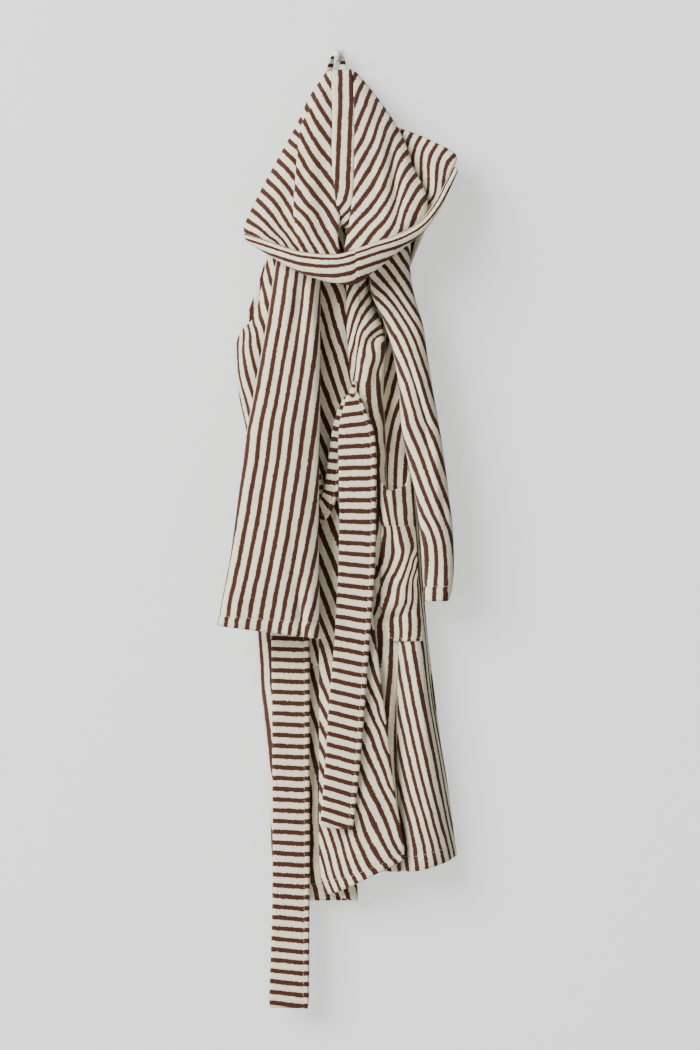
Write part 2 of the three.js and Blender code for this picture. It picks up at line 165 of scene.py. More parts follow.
def round_edges(piece, width, segments):
    edges = piece.modifiers.new("edges", "BEVEL")
    edges.width, edges.segments, edges.limit_method = width, segments, "ANGLE"
    take(piece)
    bpy.ops.object.modifier_apply(modifier=edges.name)


PLATE_WIDTH, PLATE_HEIGHT, PLATE_DEPTH, PLATE_MIDDLE = 0.015, 0.032, 0.004, -0.006
PEG_RADIUS, PEG_REACH, PEG_HEIGHT = 0.0036, 0.024, -0.003
KNOB_RADIUS, KNOB_HEIGHT = 0.0056, 0.001
PLATE_ROUND, PEG_ROUND = 0.0014, 0.0006

hook_paint = fine_relief(bare_material("pale_satin_paint", (0.70, 0.70, 0.69), 0.38),
                         "ShaderNodeTexNoise", {"Scale": 900}, 0.08, 0.0002)
bpy.ops.object.select_all(action="DESELECT")
bpy.ops.mesh.primitive_cube_add(size=1, location=(0, -PLATE_DEPTH / 2, PLATE_MIDDLE))
plate = bpy.context.object
plate.scale = (PLATE_WIDTH, PLATE_DEPTH, PLATE_HEIGHT)
settle(plate)
round_edges(plate, PLATE_ROUND, 4)

bpy.ops.object.select_all(action="DESELECT")
bpy.ops.mesh.primitive_cylinder_add(vertices=32, radius=PEG_RADIUS, depth=PEG_REACH,
                                    location=(0, -PEG_REACH / 2, PEG_HEIGHT),
                                    rotation=(math.pi / 2, 0, 0))
peg = bpy.context.object
settle(peg)
round_edges(peg, PEG_ROUND, 3)

bpy.ops.object.select_all(action="DESELECT")
bpy.ops.mesh.primitive_uv_sphere_add(segments=40, ring_count=24, radius=KNOB_RADIUS,
                                     location=(0, -PEG_REACH, KNOB_HEIGHT))
knob = bpy.context.object
settle(knob)

take(plate)
peg.select_set(True)
knob.select_set(True)
bpy.ops.object.join()
plate.name = "hook"
take(plate)
bpy.ops.object.shade_smooth_by_angle(angle=math.radians(40))
plate.data.materials.append(hook_paint)
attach(plate, "root")
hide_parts("wall_hook")


# ---- the terry, and the hanger loop -------------------------------------------------------
# The robe is cut from one striped terry, a heavy looped cotton 3 mm thick, with the stripes
# woven in. The loop is a narrow strip of it, sewn into the back of the neck, over the peg.

MM = 0.001
PITCH = 15.1          # from one brown stripe to the next, in mm as all of the cloth
BROWN = 6.8           # width of a brown stripe
TERRY = 3.0
WANDER, FRAY, BLUR = 0.13, 0.24, 0.022      # of a stripe's edges, as shares of the pitch
PILE_LOOPS, PILE_RISE = 760.0, 0.0013       # how fine the loops of the pile are, and how high


def terry(name, ecru=(0.715, 0.66, 0.475), brown=(0.052, 0.0135, 0.0075)):
    material = bpy.data.materials.new(name)
    material.use_nodes = True
    nodes, links = material.node_tree.nodes, material.node_tree.links
    shader = nodes["Principled BSDF"]

    def node(kind, **sockets):
        made = nodes.new(kind)
        for socket, value in sockets.items():
            made.inputs[socket.replace("_", " ")].default_value = value
        return made

    def sums(operation, first, second):
        made = nodes.new("ShaderNodeMath")
        made.operation = operation
        for index, value in enumerate((first, second)):
            if isinstance(value, (int, float)):
                made.inputs[index].default_value = value
            else:
                links.new(value, made.inputs[index])
        return made.outputs[0]

    place = nodes.new("ShaderNodeTexCoord")
    lying = nodes.new("ShaderNodeUVMap")
    lying.uv_map = "weave"
    apart = nodes.new("ShaderNodeSeparateXYZ")
    links.new(lying.outputs["UV"], apart.inputs[0])

    def noise(scale, detail=2.0, roughness=0.5):
        made = node("ShaderNodeTexNoise", Scale=scale, Detail=detail, Roughness=roughness)
        links.new(place.outputs["Object"], made.inputs["Vector"])
        return made.outputs["Fac"]

    wander = sums("MULTIPLY", sums("SUBTRACT", noise(70, 3.0), 0.5), WANDER)
    fray = sums("MULTIPLY", sums("SUBTRACT", noise(620, 2.0), 0.5), FRAY)
    across = sums("ADD", sums("ADD", sums("DIVIDE", apart.outputs["X"], PITCH * MM), wander), fray)
    fold = sums("PINGPONG", across, 0.5)
    edge = BROWN / PITCH / 2
    mask = node("ShaderNodeMapRange", From_Min=edge - BLUR, From_Max=edge + BLUR,
                To_Min=1.0, To_Max=0.0)
    mask.interpolation_type = "SMOOTHSTEP"
    links.new(fold, mask.inputs["Value"])

    def yarn(colour, dark):
        mottle = nodes.new("ShaderNodeMix")
        mottle.data_type = "RGBA"
        links.new(noise(480, 3.0, 0.65), mottle.inputs["Factor"])
        mottle.inputs["A"].default_value = (*[c * dark for c in colour], 1)
        mottle.inputs["B"].default_value = (*[min(1.0, c * (2 - dark)) for c in colour], 1)
        return mottle.outputs["Result"]

    striped = nodes.new("ShaderNodeMix")
    striped.data_type = "RGBA"
    links.new(mask.outputs[0], striped.inputs["Factor"])
    links.new(yarn(ecru, 0.80), striped.inputs["A"])
    links.new(yarn(brown, 0.62), striped.inputs["B"])
    links.new(striped.outputs["Result"], shader.inputs["Base Color"])

    loops = node("ShaderNodeTexVoronoi", Scale=PILE_LOOPS, Randomness=0.9)
    links.new(place.outputs["Object"], loops.inputs["Vector"])
    pile = node("ShaderNodeBump", Strength=0.75, Distance=PILE_RISE)
    links.new(sums("ADD", sums("MULTIPLY", loops.outputs["Distance"], 0.8), noise(240, 4.0, 0.7)),
              pile.inputs["Height"])
    links.new(pile.outputs["Normal"], shader.inputs["Normal"])
    shader.inputs["Roughness"].default_value = 0.96
    shader.inputs["Specular IOR Level"].default_value = 0.12
    shader.inputs["Sheen Weight"].default_value = 0.08
    shader.inputs["Sheen Roughness"].default_value = 0.6
    return material


striped_terry = terry("striped_terry")


def through(points, steps):
    """A smooth curve through the points: steps places in each stretch, and the last point."""
    points = np.asarray(points, dtype=float)
    ends = np.vstack([2 * points[0] - points[1], points, 2 * points[-1] - points[-2]])
    gaps = np.maximum(np.linalg.norm(np.diff(ends[:, :3], axis=0), axis=1), 1e-6) ** 0.5
    knots = np.concatenate([[0], np.cumsum(gaps)])
    out = []
    for k in range(len(points) - 1):
        t0, t1, t2, t3 = knots[k:k + 4]
        p0, p1, p2, p3 = ends[k:k + 4]
        for t in np.linspace(t1, t2, steps, endpoint=False):
            a1 = p0 + (p1 - p0) * (t - t0) / (t1 - t0)
            a2 = p1 + (p2 - p1) * (t - t1) / (t2 - t1)
            a3 = p2 + (p3 - p2) * (t - t2) / (t3 - t2)
            b1 = a1 + (a2 - a1) * (t - t0) / (t2 - t0)
            b2 = a2 + (a3 - a2) * (t - t1) / (t3 - t1)
            out.append(b1 + (b2 - b1) * (t - t1) / (t2 - t1))
    out.append(points[-1])
    return np.array(out)


def arc_across(grid, start):
    steps = np.linalg.norm(np.diff(grid[:, :, :3], axis=1), axis=2)
    arc = np.concatenate([np.zeros((len(grid), 1)), np.cumsum(steps, axis=1)], axis=1)
    return arc - arc[:, start:start + 1]


def arc_down(grid, line=None):
    middle = grid[:, grid.shape[1] // 2 if line is None else line, :3]
    steps = np.linalg.norm(np.diff(middle, axis=0), axis=1)
    return np.concatenate([[0], np.cumsum(steps)])


def normals_of(grid, closed):
    if closed:
        across = np.roll(grid, -1, axis=1) - np.roll(grid, 1, axis=1)
    else:
        across = np.gradient(grid, axis=1)
    down = np.gradient(grid, axis=0)
    normal = np.cross(down, across)
    return normal / np.maximum(np.linalg.norm(normal, axis=2, keepdims=True), 1e-9)


sewing_thread = fine_relief(bare_material("thread", (0.52, 0.45, 0.33), 0.7),
                            "ShaderNodeTexWave", {"Scale": 900, "Distortion": 1.5}, 0.5, 0.0003)
STITCH, STITCH_STEP, THREAD_RADIUS, THREAD_SIDES = 2.9, 4.2, 0.34, 6
STITCH_SUNK = 0.5     # how deep the two ends of a stitch go into the cloth
STITCH_FULL = 0.28    # how far from its middle a stitch is at its full thickness, as a share


def soft_piece(name, points, faces, material):
    mesh = bpy.data.meshes.new(name)
    mesh.from_pydata((points * MM).tolist(), [], faces)
    mesh.materials.append(material)
    mesh.shade_smooth()
    piece = bpy.data.objects.new(name, mesh)
    bpy.context.collection.objects.link(piece)
    return piece


def stitches(name, lines):
    """Short runs of thread, one beside the other, along lines of (points, normals)."""
    points, faces = [], []
    for line, normal in lines:
        run = np.concatenate([[0], np.cumsum(np.linalg.norm(np.diff(line, axis=0), axis=1))])
        for middle in np.arange(STITCH_STEP / 2, run[-1], STITCH_STEP):
            near, far = middle - STITCH / 2, middle + STITCH / 2
            place, before, after, out = [
                np.array([np.interp(at, run, values[:, axis]) for axis in range(3)])
                for at, values in ((middle, line), (near, line), (far, line), (middle, normal))]
            way = (after - before) / max(np.linalg.norm(after - before), 1e-9)
            out = out / max(np.linalg.norm(out), 1e-9)
            side = np.cross(way, out)
            start = len(points)
            points.append(place - way * STITCH / 2 - out * STITCH_SUNK)
            for along in (-STITCH_FULL, STITCH_FULL):
                for turn in np.linspace(0, 2 * np.pi, THREAD_SIDES, endpoint=False):
                    ring = out * np.cos(turn) + side * np.sin(turn)
                    points.append(place + way * along * STITCH + ring * THREAD_RADIUS)
            points.append(place + way * STITCH / 2 - out * STITCH_SUNK)
            tip = start + 2 * THREAD_SIDES + 1
            for k in range(THREAD_SIDES):
                m, n = start + 1 + k, start + 1 + (k + 1) % THREAD_SIDES
                far_m, far_n = m + THREAD_SIDES, n + THREAD_SIDES
                faces += [(start, m, n), (m, far_m, far_n, n), (tip, far_n, far_m)]
    piece = soft_piece(name, np.array(points), faces, sewing_thread)
    take(piece)
    bpy.ops.object.mode_set(mode="EDIT")
    bpy.ops.mesh.select_all(action="SELECT")
    bpy.ops.mesh.normals_make_consistent(inside=False)
    bpy.ops.object.mode_set(mode="OBJECT")
    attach(piece, "root")


HEM_SLIP, SLIP_OVER = 1.3, 0.8    # how far a hem's stripes are off those above it, and over what
HEM_RISE, RISE_OVER = 0.7, 2.5    # what a turned hem adds to each side of the cloth, and over what
SEAM_DIP, SEAM_REACH = 0.9, 1.7
EDGE_ROUND = 0.8                  # how far a cut edge is rounded, as a share of half its thickness


def cloth(name, grid, stripes, thickness=TERRY, closed=False, hems=()):
    """A wall of cloth round a sheet, with rounded edges and with its weave as a UV map.

    hems are (side, width) pairs: the cloth is turned and sewn there, so it is thicker and
    dips at the line of stitches. The sides are top, foot, first and last. Where a third word
    says blind, the stitches don't show. A closed sheet's stripes have one more column, for
    the far side of its seam."""
    rows, columns = grid.shape[:2]
    normal = normals_of(grid, closed)
    half = np.full((rows, columns), thickness / 2)
    down = arc_down(grid)
    over = arc_across(grid, 0).mean(axis=0)
    seams = []
    for side, width, *blind in hems:
        upright = side in ("first", "last")
        reach = over if upright else down
        away = reach if side in ("top", "first") else reach[-1] - reach
        order = np.argsort(away)
        if not blind:
            seams.append((upright, np.interp(width, away[order], order)))
        away = np.broadcast_to(away[None, :] if upright else away[:, None], (rows, columns))
        half = half + HEM_RISE * np.clip((width - away) / RISE_OVER, 0, 1)
        half = half - SEAM_DIP * np.exp(-((away - width) / SEAM_REACH) ** 2)
        slip = HEM_SLIP * np.clip((width - away) / SLIP_OVER, 0, 1)
        stripes = stripes + (np.concatenate([slip, slip[:, :1]], axis=1) if closed else slip)
    front = grid + normal * half[..., None]
    behind = grid - normal * half[..., None]
    points = [front.reshape(-1, 3), behind.reshape(-1, 3)]
    count = rows * columns
    origin = list(range(count)) * 2
    faces, beyond_seam = [], []
    index = np.arange(count).reshape(rows, columns)
    cells = columns if closed else columns - 1
    for i in range(rows - 1):
        for j in range(cells):
            a, b = index[i, j], index[i, (j + 1) % columns]
            c, d = index[i + 1, (j + 1) % columns], index[i + 1, j]
            if j == columns - 1:
                beyond_seam += [len(faces), len(faces) + 1]
            faces.append((a, d, c, b))
            faces.append((count + a, count + b, count + c, count + d))
    rim = []
    top, foot = list(index[0]), list(index[-1])
    if closed:
        loops = [(top, False), (foot, True)]
    else:
        loops = [(top + list(index[1:, -1]) + foot[-2::-1] + list(index[-2:0:-1, 0]), False)]
    for loop, turned in loops:
        start = len(origin)
        for place in loop:
            i, j = divmod(int(place), columns)
            inward_i = 1 if i == 0 else (-1 if i == rows - 1 else 0)
            inward_j = 0 if closed else (1 if j == 0 else (-1 if j == columns - 1 else 0))
            out = grid[i, j] - grid[i + inward_i, (j + inward_j) % columns]
            out = out / max(np.linalg.norm(out), 1e-9)
            rim.append(grid[i, j] + out * half[i, j] * EDGE_ROUND)
            origin.append(int(place))
        size = len(loop)
        for k in range(size):
            a, b = loop[k], loop[(k + 1) % size]
            m, n = start + k, start + (k + 1) % size
            if turned:
                a, b, m, n = b, a, n, m
            if closed and k == size - 1:
                beyond_seam += [len(faces), len(faces) + 1]
            faces.append((a, b, n, m))
            faces.append((m, n, count + b, count + a))
    faces = [tuple(int(v) for v in face) for face in faces]
    piece = soft_piece(name, np.vstack(points + [np.array(rim)]), faces, striped_terry)
    mesh = piece.data
    corner = np.empty(len(mesh.loops), dtype=np.int32)
    mesh.loops.foreach_get("vertex_index", corner)
    home = np.array(origin)[corner]
    column = home % columns
    for face in beyond_seam:        # all faces have four corners
        corners = slice(4 * face, 4 * face + 4)
        column[corners] = np.where(column[corners] == 0, columns, column[corners])
    weave = np.stack([stripes[home // columns, column], down[home // columns]], axis=1) * MM
    mesh.uv_layers.new(name="weave").data.foreach_set("uv", weave.reshape(-1).astype(np.float32))
    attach(piece, "root")
    if seams:
        sewn = []
        for upright, place in seams:
            here, share = int(place), place - int(place)
            line, out = [(side[:, here] * (1 - share) + side[:, here + 1] * share) if upright else
                         (side[here] * (1 - share) + side[here + 1] * share)
                         for side in (front, normal)]
            if closed:
                line, out = np.vstack([line, line[:1]]), np.vstack([out, out[:1]])
            sewn.append((line + out * 0.1, out))
        stitches(name + "_stitches", sewn)
    return piece


LOOP_WIDTH, LOOP_THICK = 8, 2.4
LOOP_DRAWN_IN = 1.25  # its stripes lie this much closer
PEG_TOP = (PEG_HEIGHT + PEG_RADIUS) / MM
LOOP_OUT = PEG_RADIUS / MM + 4.2
loop_path = [
    [-LOOP_OUT - 5, -12.6, -25], [-LOOP_OUT - 1, -13, -12], [-LOOP_OUT + 1, -13, -3],
    [-LOOP_OUT + 3.4, -13, PEG_TOP - 0.75], [0, -13, PEG_TOP + 2.65],
    [LOOP_OUT - 3.4, -13, PEG_TOP - 0.75], [LOOP_OUT - 1, -13, -3], [LOOP_OUT, -13, -10],
    [LOOP_OUT + 1, -12.6, -20],
]
loop_middle = through(loop_path, 8)
loop_share = np.linspace(-1, 1, len(loop_middle))
loop_turn = np.radians(62) * np.clip((np.abs(loop_share) - 0.30) / 0.5, 0, 1) * np.sign(loop_share)
loop_way = np.stack([np.sin(loop_turn), -np.cos(loop_turn), 0 * loop_turn], axis=1)
loop_over = np.linspace(LOOP_WIDTH / 2, -LOOP_WIDTH / 2, 9)
loop_grid = loop_middle[:, None] + loop_way[:, None] * loop_over[None, :, None]
loop_stripes = np.broadcast_to(arc_down(loop_grid)[:, None], loop_grid.shape[:2]) * LOOP_DRAWN_IN
hanger = cloth("neck_loop", loop_grid, loop_stripes, LOOP_THICK)
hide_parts("hanger_loop")


# ---- the back -----------------------------------------------------------------------------
# The back hangs flat by the wall, from the loop at its neck, and flares down to a turned hem.

FOLD_RADIUS = 4.5


def sections_of(rows, folds=None):
    """Rows of height and then an [x, y] or [x, y, rise] for each line down the piece.

    folds says which lines are sharp folds, and which way each turns."""
    folds = folds or {}
    sections = []
    for height, *stations in rows:
        section = []
        for index, station in enumerate(stations):
            x, y, rise = (station + [0])[:3]
            turn = folds.get(index)
            if turn:
                round_x = x - turn * FOLD_RADIUS
                section += [[round_x, y + FOLD_RADIUS, height + rise], [x, y, height + rise],
                            [round_x, y - FOLD_RADIUS, height + rise]]
            else:
                section.append([x, y, height + rise])
        sections.append(section)
    return np.array(sections, dtype=float)


def laid(sections, across, down):
    rows = np.array([through(section, across) for section in sections])
    return np.stack([through(rows[:, j], down) for j in range(rows.shape[1])], axis=1)


def creased(grid, creases):
    """Soft ridges (+) and troughs (-) in the cloth: from x, z to x, z, with width and depth."""
    out = grid.copy()
    for x0, z0, x1, z1, width, depth in creases:
        line = np.array([x1 - x0, z1 - z0], dtype=float)
        length = np.linalg.norm(line)
        offset = grid[:, :, [0, 2]] - np.array([x0, z0])
        along = np.clip(offset @ line / length ** 2, 0, 1)
        away = np.linalg.norm(offset - along[..., None] * line, axis=2)
        fade = np.sin(np.pi * np.clip(along, 0.04, 0.96)) ** 0.5
        out[:, :, 1] -= depth * fade * np.exp(-(away / width) ** 2)
    return out


def declare(node):
    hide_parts(node)


HEM = 20

back_rows = [
    # height, then right, right flute, middle, left flute, left
    [-26, [-12, -8], [-5, -8], [1, -8], [7, -8], [13, -8]],
    [-66, [-30, -8], [-14, -8], [5, -8], [24, -8], [42, -8]],
    [-120, [-54, -8], [-26, -7], [10, -8], [46, -7], [76, -8]],
    [-200, [-82, -8], [-40, -7], [8, -9], [54, -7], [97, -8]],
    [-300, [-104, -8], [-52, -7], [0, -9], [50, -7], [92, -8]],
    [-390, [-134, -8], [-66, -7], [-14, -9], [44, -7], [90, -8]],
    [-430, [-142, -8], [-72, -7], [-16, -9], [42, -7], [94, -8]],
    [-533, [-124, -8], [-66, -7], [-12, -9], [48, -7], [102, -8]],
    [-640, [-118, -8], [-62, -6], [-4, -9], [54, -6], [112, -8]],
    [-811, [-110, -8], [-56, -6], [6, -10], [64, -6], [126, -8]],
    [-1000, [-97, -8], [-44, -6], [20, -10], [84, -6], [149, -8]],
    [-1184, [-89, -8], [-30, -6, 14], [30, -10, 30], [98, -6, 46], [165, -8, 60]],
]
BACK_STEPS = (14, 8)
BACK_MIDDLE = 2 * BACK_STEPS[0]
back_grid = laid(sections_of(back_rows), *BACK_STEPS)
back_creases = [
    (-40, -120, -96, -420, 14, -1.6), (30, -110, 74, -380, 12, 1.4),
    (-10, -300, -60, -760, 16, 1.6), (20, -420, 30, -900, 15, -1.5),
    (60, -640, 110, -1120, 16, 1.6), (-60, -700, -50, -1150, 14, -1.4),
]
back_cloth = creased(back_grid, back_creases)
back_gather = np.interp(np.arange(len(back_grid)) / BACK_STEPS[1], [0, 1, 2], [1.3, 1.2, 1])
back_stripes = arc_across(back_grid, BACK_MIDDLE) * back_gather[:, None]
back_stripes = back_stripes + back_grid[:, BACK_MIDDLE, :1]
back = cloth("back", back_cloth, back_stripes, hems=[("foot", HEM)])
declare("back")


# ---- the belt loops -------------------------------------------------------------------------
# Two narrow straps of terry, one at each side seam at the waist, that carry the belt.

def ribbon(rows, down, over=8):
    path = np.array([row["at"] for row in rows], dtype=float)
    along = np.gradient(path, axis=0)
    along[1:-1] = path[2:] - path[:-2]
    along /= np.linalg.norm(along, axis=1, keepdims=True)
    half = np.cross(along, [0, 1, 0])
    half /= np.linalg.norm(half, axis=1, keepdims=True)
    half *= np.array([row["width"] for row in rows])[:, None] / 2
    left, right = through(path - half, down), through(path + half, down)
    share = np.linspace(0, 1, over + 1)
    return left[:, None] + (right - left)[:, None] * share[None, :, None]


STRAP_THICK = 1.5
strap_left_rows = [
    {"at": [25, -53.5, -460], "width": 5}, {"at": [24, -61, -463], "width": 5},
    {"at": [22, -69.5, -471], "width": 5}, {"at": [20.5, -70.8, -482], "width": 5},
]
strap_right_rows = [
    {"at": [-72, -26.5, -480], "width": 8}, {"at": [-72, -35, -484], "width": 8},
    {"at": [-72, -39.6, -499], "width": 8}, {"at": [-70, -38.4, -510], "width": 6.5},
    {"at": [-69, -24.9, -516], "width": 6},
]


def strap(name, rows):
    grid = ribbon(rows, 6, 4)
    stripes = np.broadcast_to(arc_down(grid)[:, None], grid.shape[:2])
    piece = cloth(name, grid, stripes, STRAP_THICK)
    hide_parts(name)
    return piece


strap_left = strap("belt_loop_left", strap_left_rows)
strap_right = strap("belt_loop_right", strap_right_rows)


# ---- the fronts -----------------------------------------------------------------------------
# Two fronts wrap over each other. The right one is folded back on itself in one long pleat,
# and below the belt it lies over the left one. Both have a turned hem.

def waved(grid, seed, height=0.8, size=70.0):
    """The slight unevenness of heavy cloth that hangs."""
    rng = np.random.default_rng(seed)
    out = grid.copy()
    for _ in range(7):
        way = rng.normal(size=2)
        way /= np.linalg.norm(way)
        way[0] *= 1.5
        phase, scale = rng.uniform(0, 2 * np.pi), size * rng.uniform(0.5, 1.6)
        turn = (grid[:, :, [0, 2]] @ way) * 2 * np.pi / scale + phase
        out[:, :, 1] += height * 0.4 * np.sin(turn)
    return out


def smooth_down(values, reach):
    """Each value with its neighbours up and down the piece."""
    wide = np.pad(values, reach, mode="edge")
    return np.convolve(wide, np.ones(2 * reach + 1) / (2 * reach + 1), mode="valid")


def smooth_surface(lines, points, ease):
    """Stripe numbers at the points, on the thin bent plate that passes through the lines."""
    places = np.array([place for _, line in lines for place in line], dtype=float) / 100
    values = np.array([number for number, line in lines for _ in line], dtype=float)
    count = len(places)

    def pull(at):
        gap = np.linalg.norm(at[:, None] - places[None], axis=2)
        return gap ** 2 * np.log(np.maximum(gap, 1e-9))

    plane = np.column_stack([np.ones(count), places])
    system = np.zeros((count + 3, count + 3))
    system[:count, :count] = pull(places) + ease * np.eye(count)
    system[:count, count:] = plane
    system[count:, :count] = plane.T
    weights = np.linalg.solve(system, np.concatenate([values, np.zeros(3)]))
    return pull(points) @ weights[:count] + weights[count] + points @ weights[count + 1:]


SLOPE_OVER, SLOPE_SMOOTHED = 4, 14      # lines and rows of a piece's grid


def woven(grid, *fields, ease=0.02):
    """Stripe places on a piece whose cloth is pulled out of true, from lines that follow stripes.

    A field is (first column, last column, lines), and a line is a stripe's number and the x, z
    places that it passes. Each field is a smooth surface through its lines. Between two fields,
    and beyond them where the cloth turns away, the stripes keep their distance in the cloth."""
    arc = arc_across(grid, 0)
    out = np.zeros(grid.shape[:2])
    ends = []
    for first, last, lines in fields:
        seen = grid[:, first:last + 1, [0, 2]] / 100
        surface = smooth_surface(lines, seen.reshape(-1, 2), ease).reshape(seen.shape[:2]) * PITCH
        if ends:
            before = ends[-1]
            way = np.sign(np.mean(surface[:, -1] - surface[:, 0]))
            gap = (arc[:, first] - arc[:, before]) * way
            whole = math.floor(np.mean(gap + out[:, before] - surface[:, 0]) / PITCH + 0.25)
            surface = surface + whole * PITCH
            share = (arc[:, before:first] - arc[:, before:before + 1])
            share = share / np.maximum(arc[:, first:first + 1] - arc[:, before:before + 1], 1e-6)
            start = out[:, before:before + 1]
            out[:, before:first] = start + (surface[:, :1] - start) * share
        out[:, first:last + 1] = surface
        ends += [first, last]
    first, last = ends[0], ends[-1]
    for edge, inner, beyond in ((first, first + SLOPE_OVER, slice(0, first)),
                                (last, last - SLOPE_OVER, slice(last + 1, None))):
        slope = (out[:, edge] - out[:, inner]) / (arc[:, edge] - arc[:, inner])
        slope = smooth_down(np.clip(slope, -1, 1), SLOPE_SMOOTHED)[:, None]
        out[:, beyond] = out[:, edge:edge + 1] + (arc[:, beyond] - arc[:, edge:edge + 1]) * slope
    return out


right_rows = [
    # height, then side, hip, inner fold, outer fold, middle, free edge
    [-150, [-58, -11.3], [-46, -18], [-20, -19], [-34, -30], [-16, -37], [2, -34]],
    [-230, [-84, -11.3], [-66, -20], [-14, -19], [-34, -30], [-12, -37], [10, -33]],
    [-300, [-101, -11.3], [-82, -22], [-14, -19], [-34, -30], [-10, -37], [12, -33]],
    [-366, [-116, -11.3], [-100, -25], [-14, -19], [-34, -30], [-8, -37], [14, -34]],
    [-395, [-138, -11.3], [-122, -30], [-14, -19], [-34, -30], [-8, -37], [15, -34]],
    [-430, [-143, -11.3], [-126, -33], [-14, -19], [-34, -30], [-6, -38], [17, -34]],
    [-480, [-137, -11.3], [-120, -30], [-12, -19], [-33, -30], [-2, -38], [22, -35]],
    [-540, [-125, -11.3], [-108, -26], [-8, -19], [-31, -30], [4, -39], [30, -37]],
    [-660, [-116, -11.3], [-95, -22], [4, -19], [-27, -30], [12, -41], [39, -43]],
    [-760, [-113, -11.3], [-92, -25], [11, -19], [-25, -31], [15, -43], [46, -47]],
    [-858, [-108, -11.3], [-87, -27], [16, -19], [-24, -31], [17, -46], [57, -50]],
    [-935, [-103, -11.3], [-82, -28], [20, -19], [-24, -31], [20, -47], [67, -51]],
    [-1040, [-94, -11.3], [-76, -29], [24, -19], [-24, -31], [24, -50], [80, -52]],
    [-1140, [-91, -11.3], [-74, -30], [26, -19], [-23, -31], [26, -52, 4], [92, -54, 30]],
    [-1182, [-90, -11.3], [-73, -30, -4], [27, -19, -6], [-16, -31, 4], [26, -52, 20],
     [93, -54, 54]],
]
RIGHT_FOLDS = {2: 1, 3: -1}
RIGHT_STEPS = (8, 8)
right_grid = laid(sections_of(right_rows, RIGHT_FOLDS), *RIGHT_STEPS)
right_free = right_grid.shape[1] - 1
right_creases = [
    (-128, -400, -118, -520, 9, 3.0), (-112, -330, -128, -420, 8, -3.0),
    (-20, -420, 12, -640, 12, 2.2), (-12, -700, 20, -900, 14, 1.8), (10, -900, 60, -1120, 16, 2.2),
    (-8, -940, 12, -1180, 10, -2.0), (-100, -860, -92, -1150, 9, 1.8),
]
right_cloth = creased(right_grid, right_creases)
right_side_weave = [
    (-2, [(-102, -285), (-90, -323)]),
    (-1, [(-108, -318), (-96, -355)]),
    (0, [(-113, -348), (-102, -385)]),
    (1, [(-119, -375), (-107, -419)]),
    (2, [(-124, -408), (-112, -450)]),
    (3, [(-129, -439), (-117, -483)]),
    (4, [(-136, -390), (-139, -423), (-136, -463), (-121, -512)]),
    (5, [(-141, -468), (-132, -510), (-126, -533)]),
    (7, [(-109, -811), (-106, -856), (-101, -906), (-97, -956), (-94, -1006), (-92, -1056)]),
    (6, [(-96, -816), (-92, -856), (-90, -894)]),
    (2, [(-39, -856), (-27, -901), (-19, -934)]),
    (3, [(-42, -906), (-22, -974)]),
    (4, [(-39, -954), (-26, -1019)]),
    (5, [(-41, -1019), (-39, -1069), (-37, -1116)]),
    (1, [(-33, -826), (-25, -854)]),
    (5, [(-37, -1080), (-35, -1109), (-30, -1183)]),
    (4, [(-25, -1023), (-25, -1080), (-23, -1137)]),
    (7, [(-72, -1044), (-71, -1114)]),
]
right_front_weave = [
    (1, [(-4, -327), (5, -351), (10, -374), (14, -395)]),
    (2, [(-23, -322), (-13, -345), (-8, -368), (0, -392), (9, -421), (19, -460)]),
    (3, [(-24, -355), (-17, -375), (-14, -395), (-5, -415), (2, -441), (14, -485)]),
    (4, [(-24, -392), (-18, -421), (-10, -448), (-1, -472), (9, -498)]),
    (5, [(-21, -461), (-12, -485), (-2, -508), (3, -521)]),
    (6, [(-24, -498), (-17, -515), (-11, -528)]),
    (9, [(-12, -648), (4, -688)]),
    (10, [(-24, -668), (-12, -698), (4, -735)]),
    (11, [(-23, -708), (-12, -740), (1, -770)]),
    (12, [(-22, -753), (-12, -783), (-1, -810)]),
    (13, [(-22, -795), (-12, -820), (-4, -845)]),
    (14, [(36, -970), (43, -989), (57, -1016), (70, -1045), (83, -1074), (94, -1111)]),
    (15, [(31, -994), (41, -1023), (57, -1058), (75, -1102), (93, -1129)]),
    (16, [(27, -1023), (35, -1045), (48, -1074), (64, -1106), (82, -1137)]),
    (17, [(25, -1049), (35, -1079), (51, -1114), (67, -1142)]),
    (18, [(21, -1066), (25, -1094), (38, -1124), (54, -1153)]),
    (19, [(12, -1086), (17, -1106), (25, -1129), (40, -1160)]),
    (20, [(-2, -1081), (8, -1103), (14, -1131), (29, -1164)]),
    (21, [(-16, -1077), (-7, -1102), (4, -1137), (14, -1171)]),
    (22, [(-23, -1087), (-13, -1119), (-7, -1143), (6, -1176)]),
    (23, [(-24, -1114), (-16, -1147), (-4, -1177)]),
    (24, [(-24, -1147), (-20, -1166), (-10, -1185)]),
    (14, [(-19, -834), (-7, -884)]),
    (10, [(43, -841), (58, -889), (66, -924)]),
    (11, [(39, -876), (58, -914), (73, -964), (81, -999)]),
    (12, [(38, -906), (58, -946), (78, -996), (84, -1034)]),
    (13, [(37, -941), (58, -989), (83, -1039), (91, -1069)]),
]
right_stripes = woven(right_grid, (5, 2 * RIGHT_STEPS[0] - 2, right_side_weave),
                      (6 * RIGHT_STEPS[0] + 2, right_free, right_front_weave))
front_right = cloth("front_right", waved(right_cloth, 3, 1.3), right_stripes,
                    hems=[("foot", HEM), ("last", HEM, "blind")])
declare("front_right")

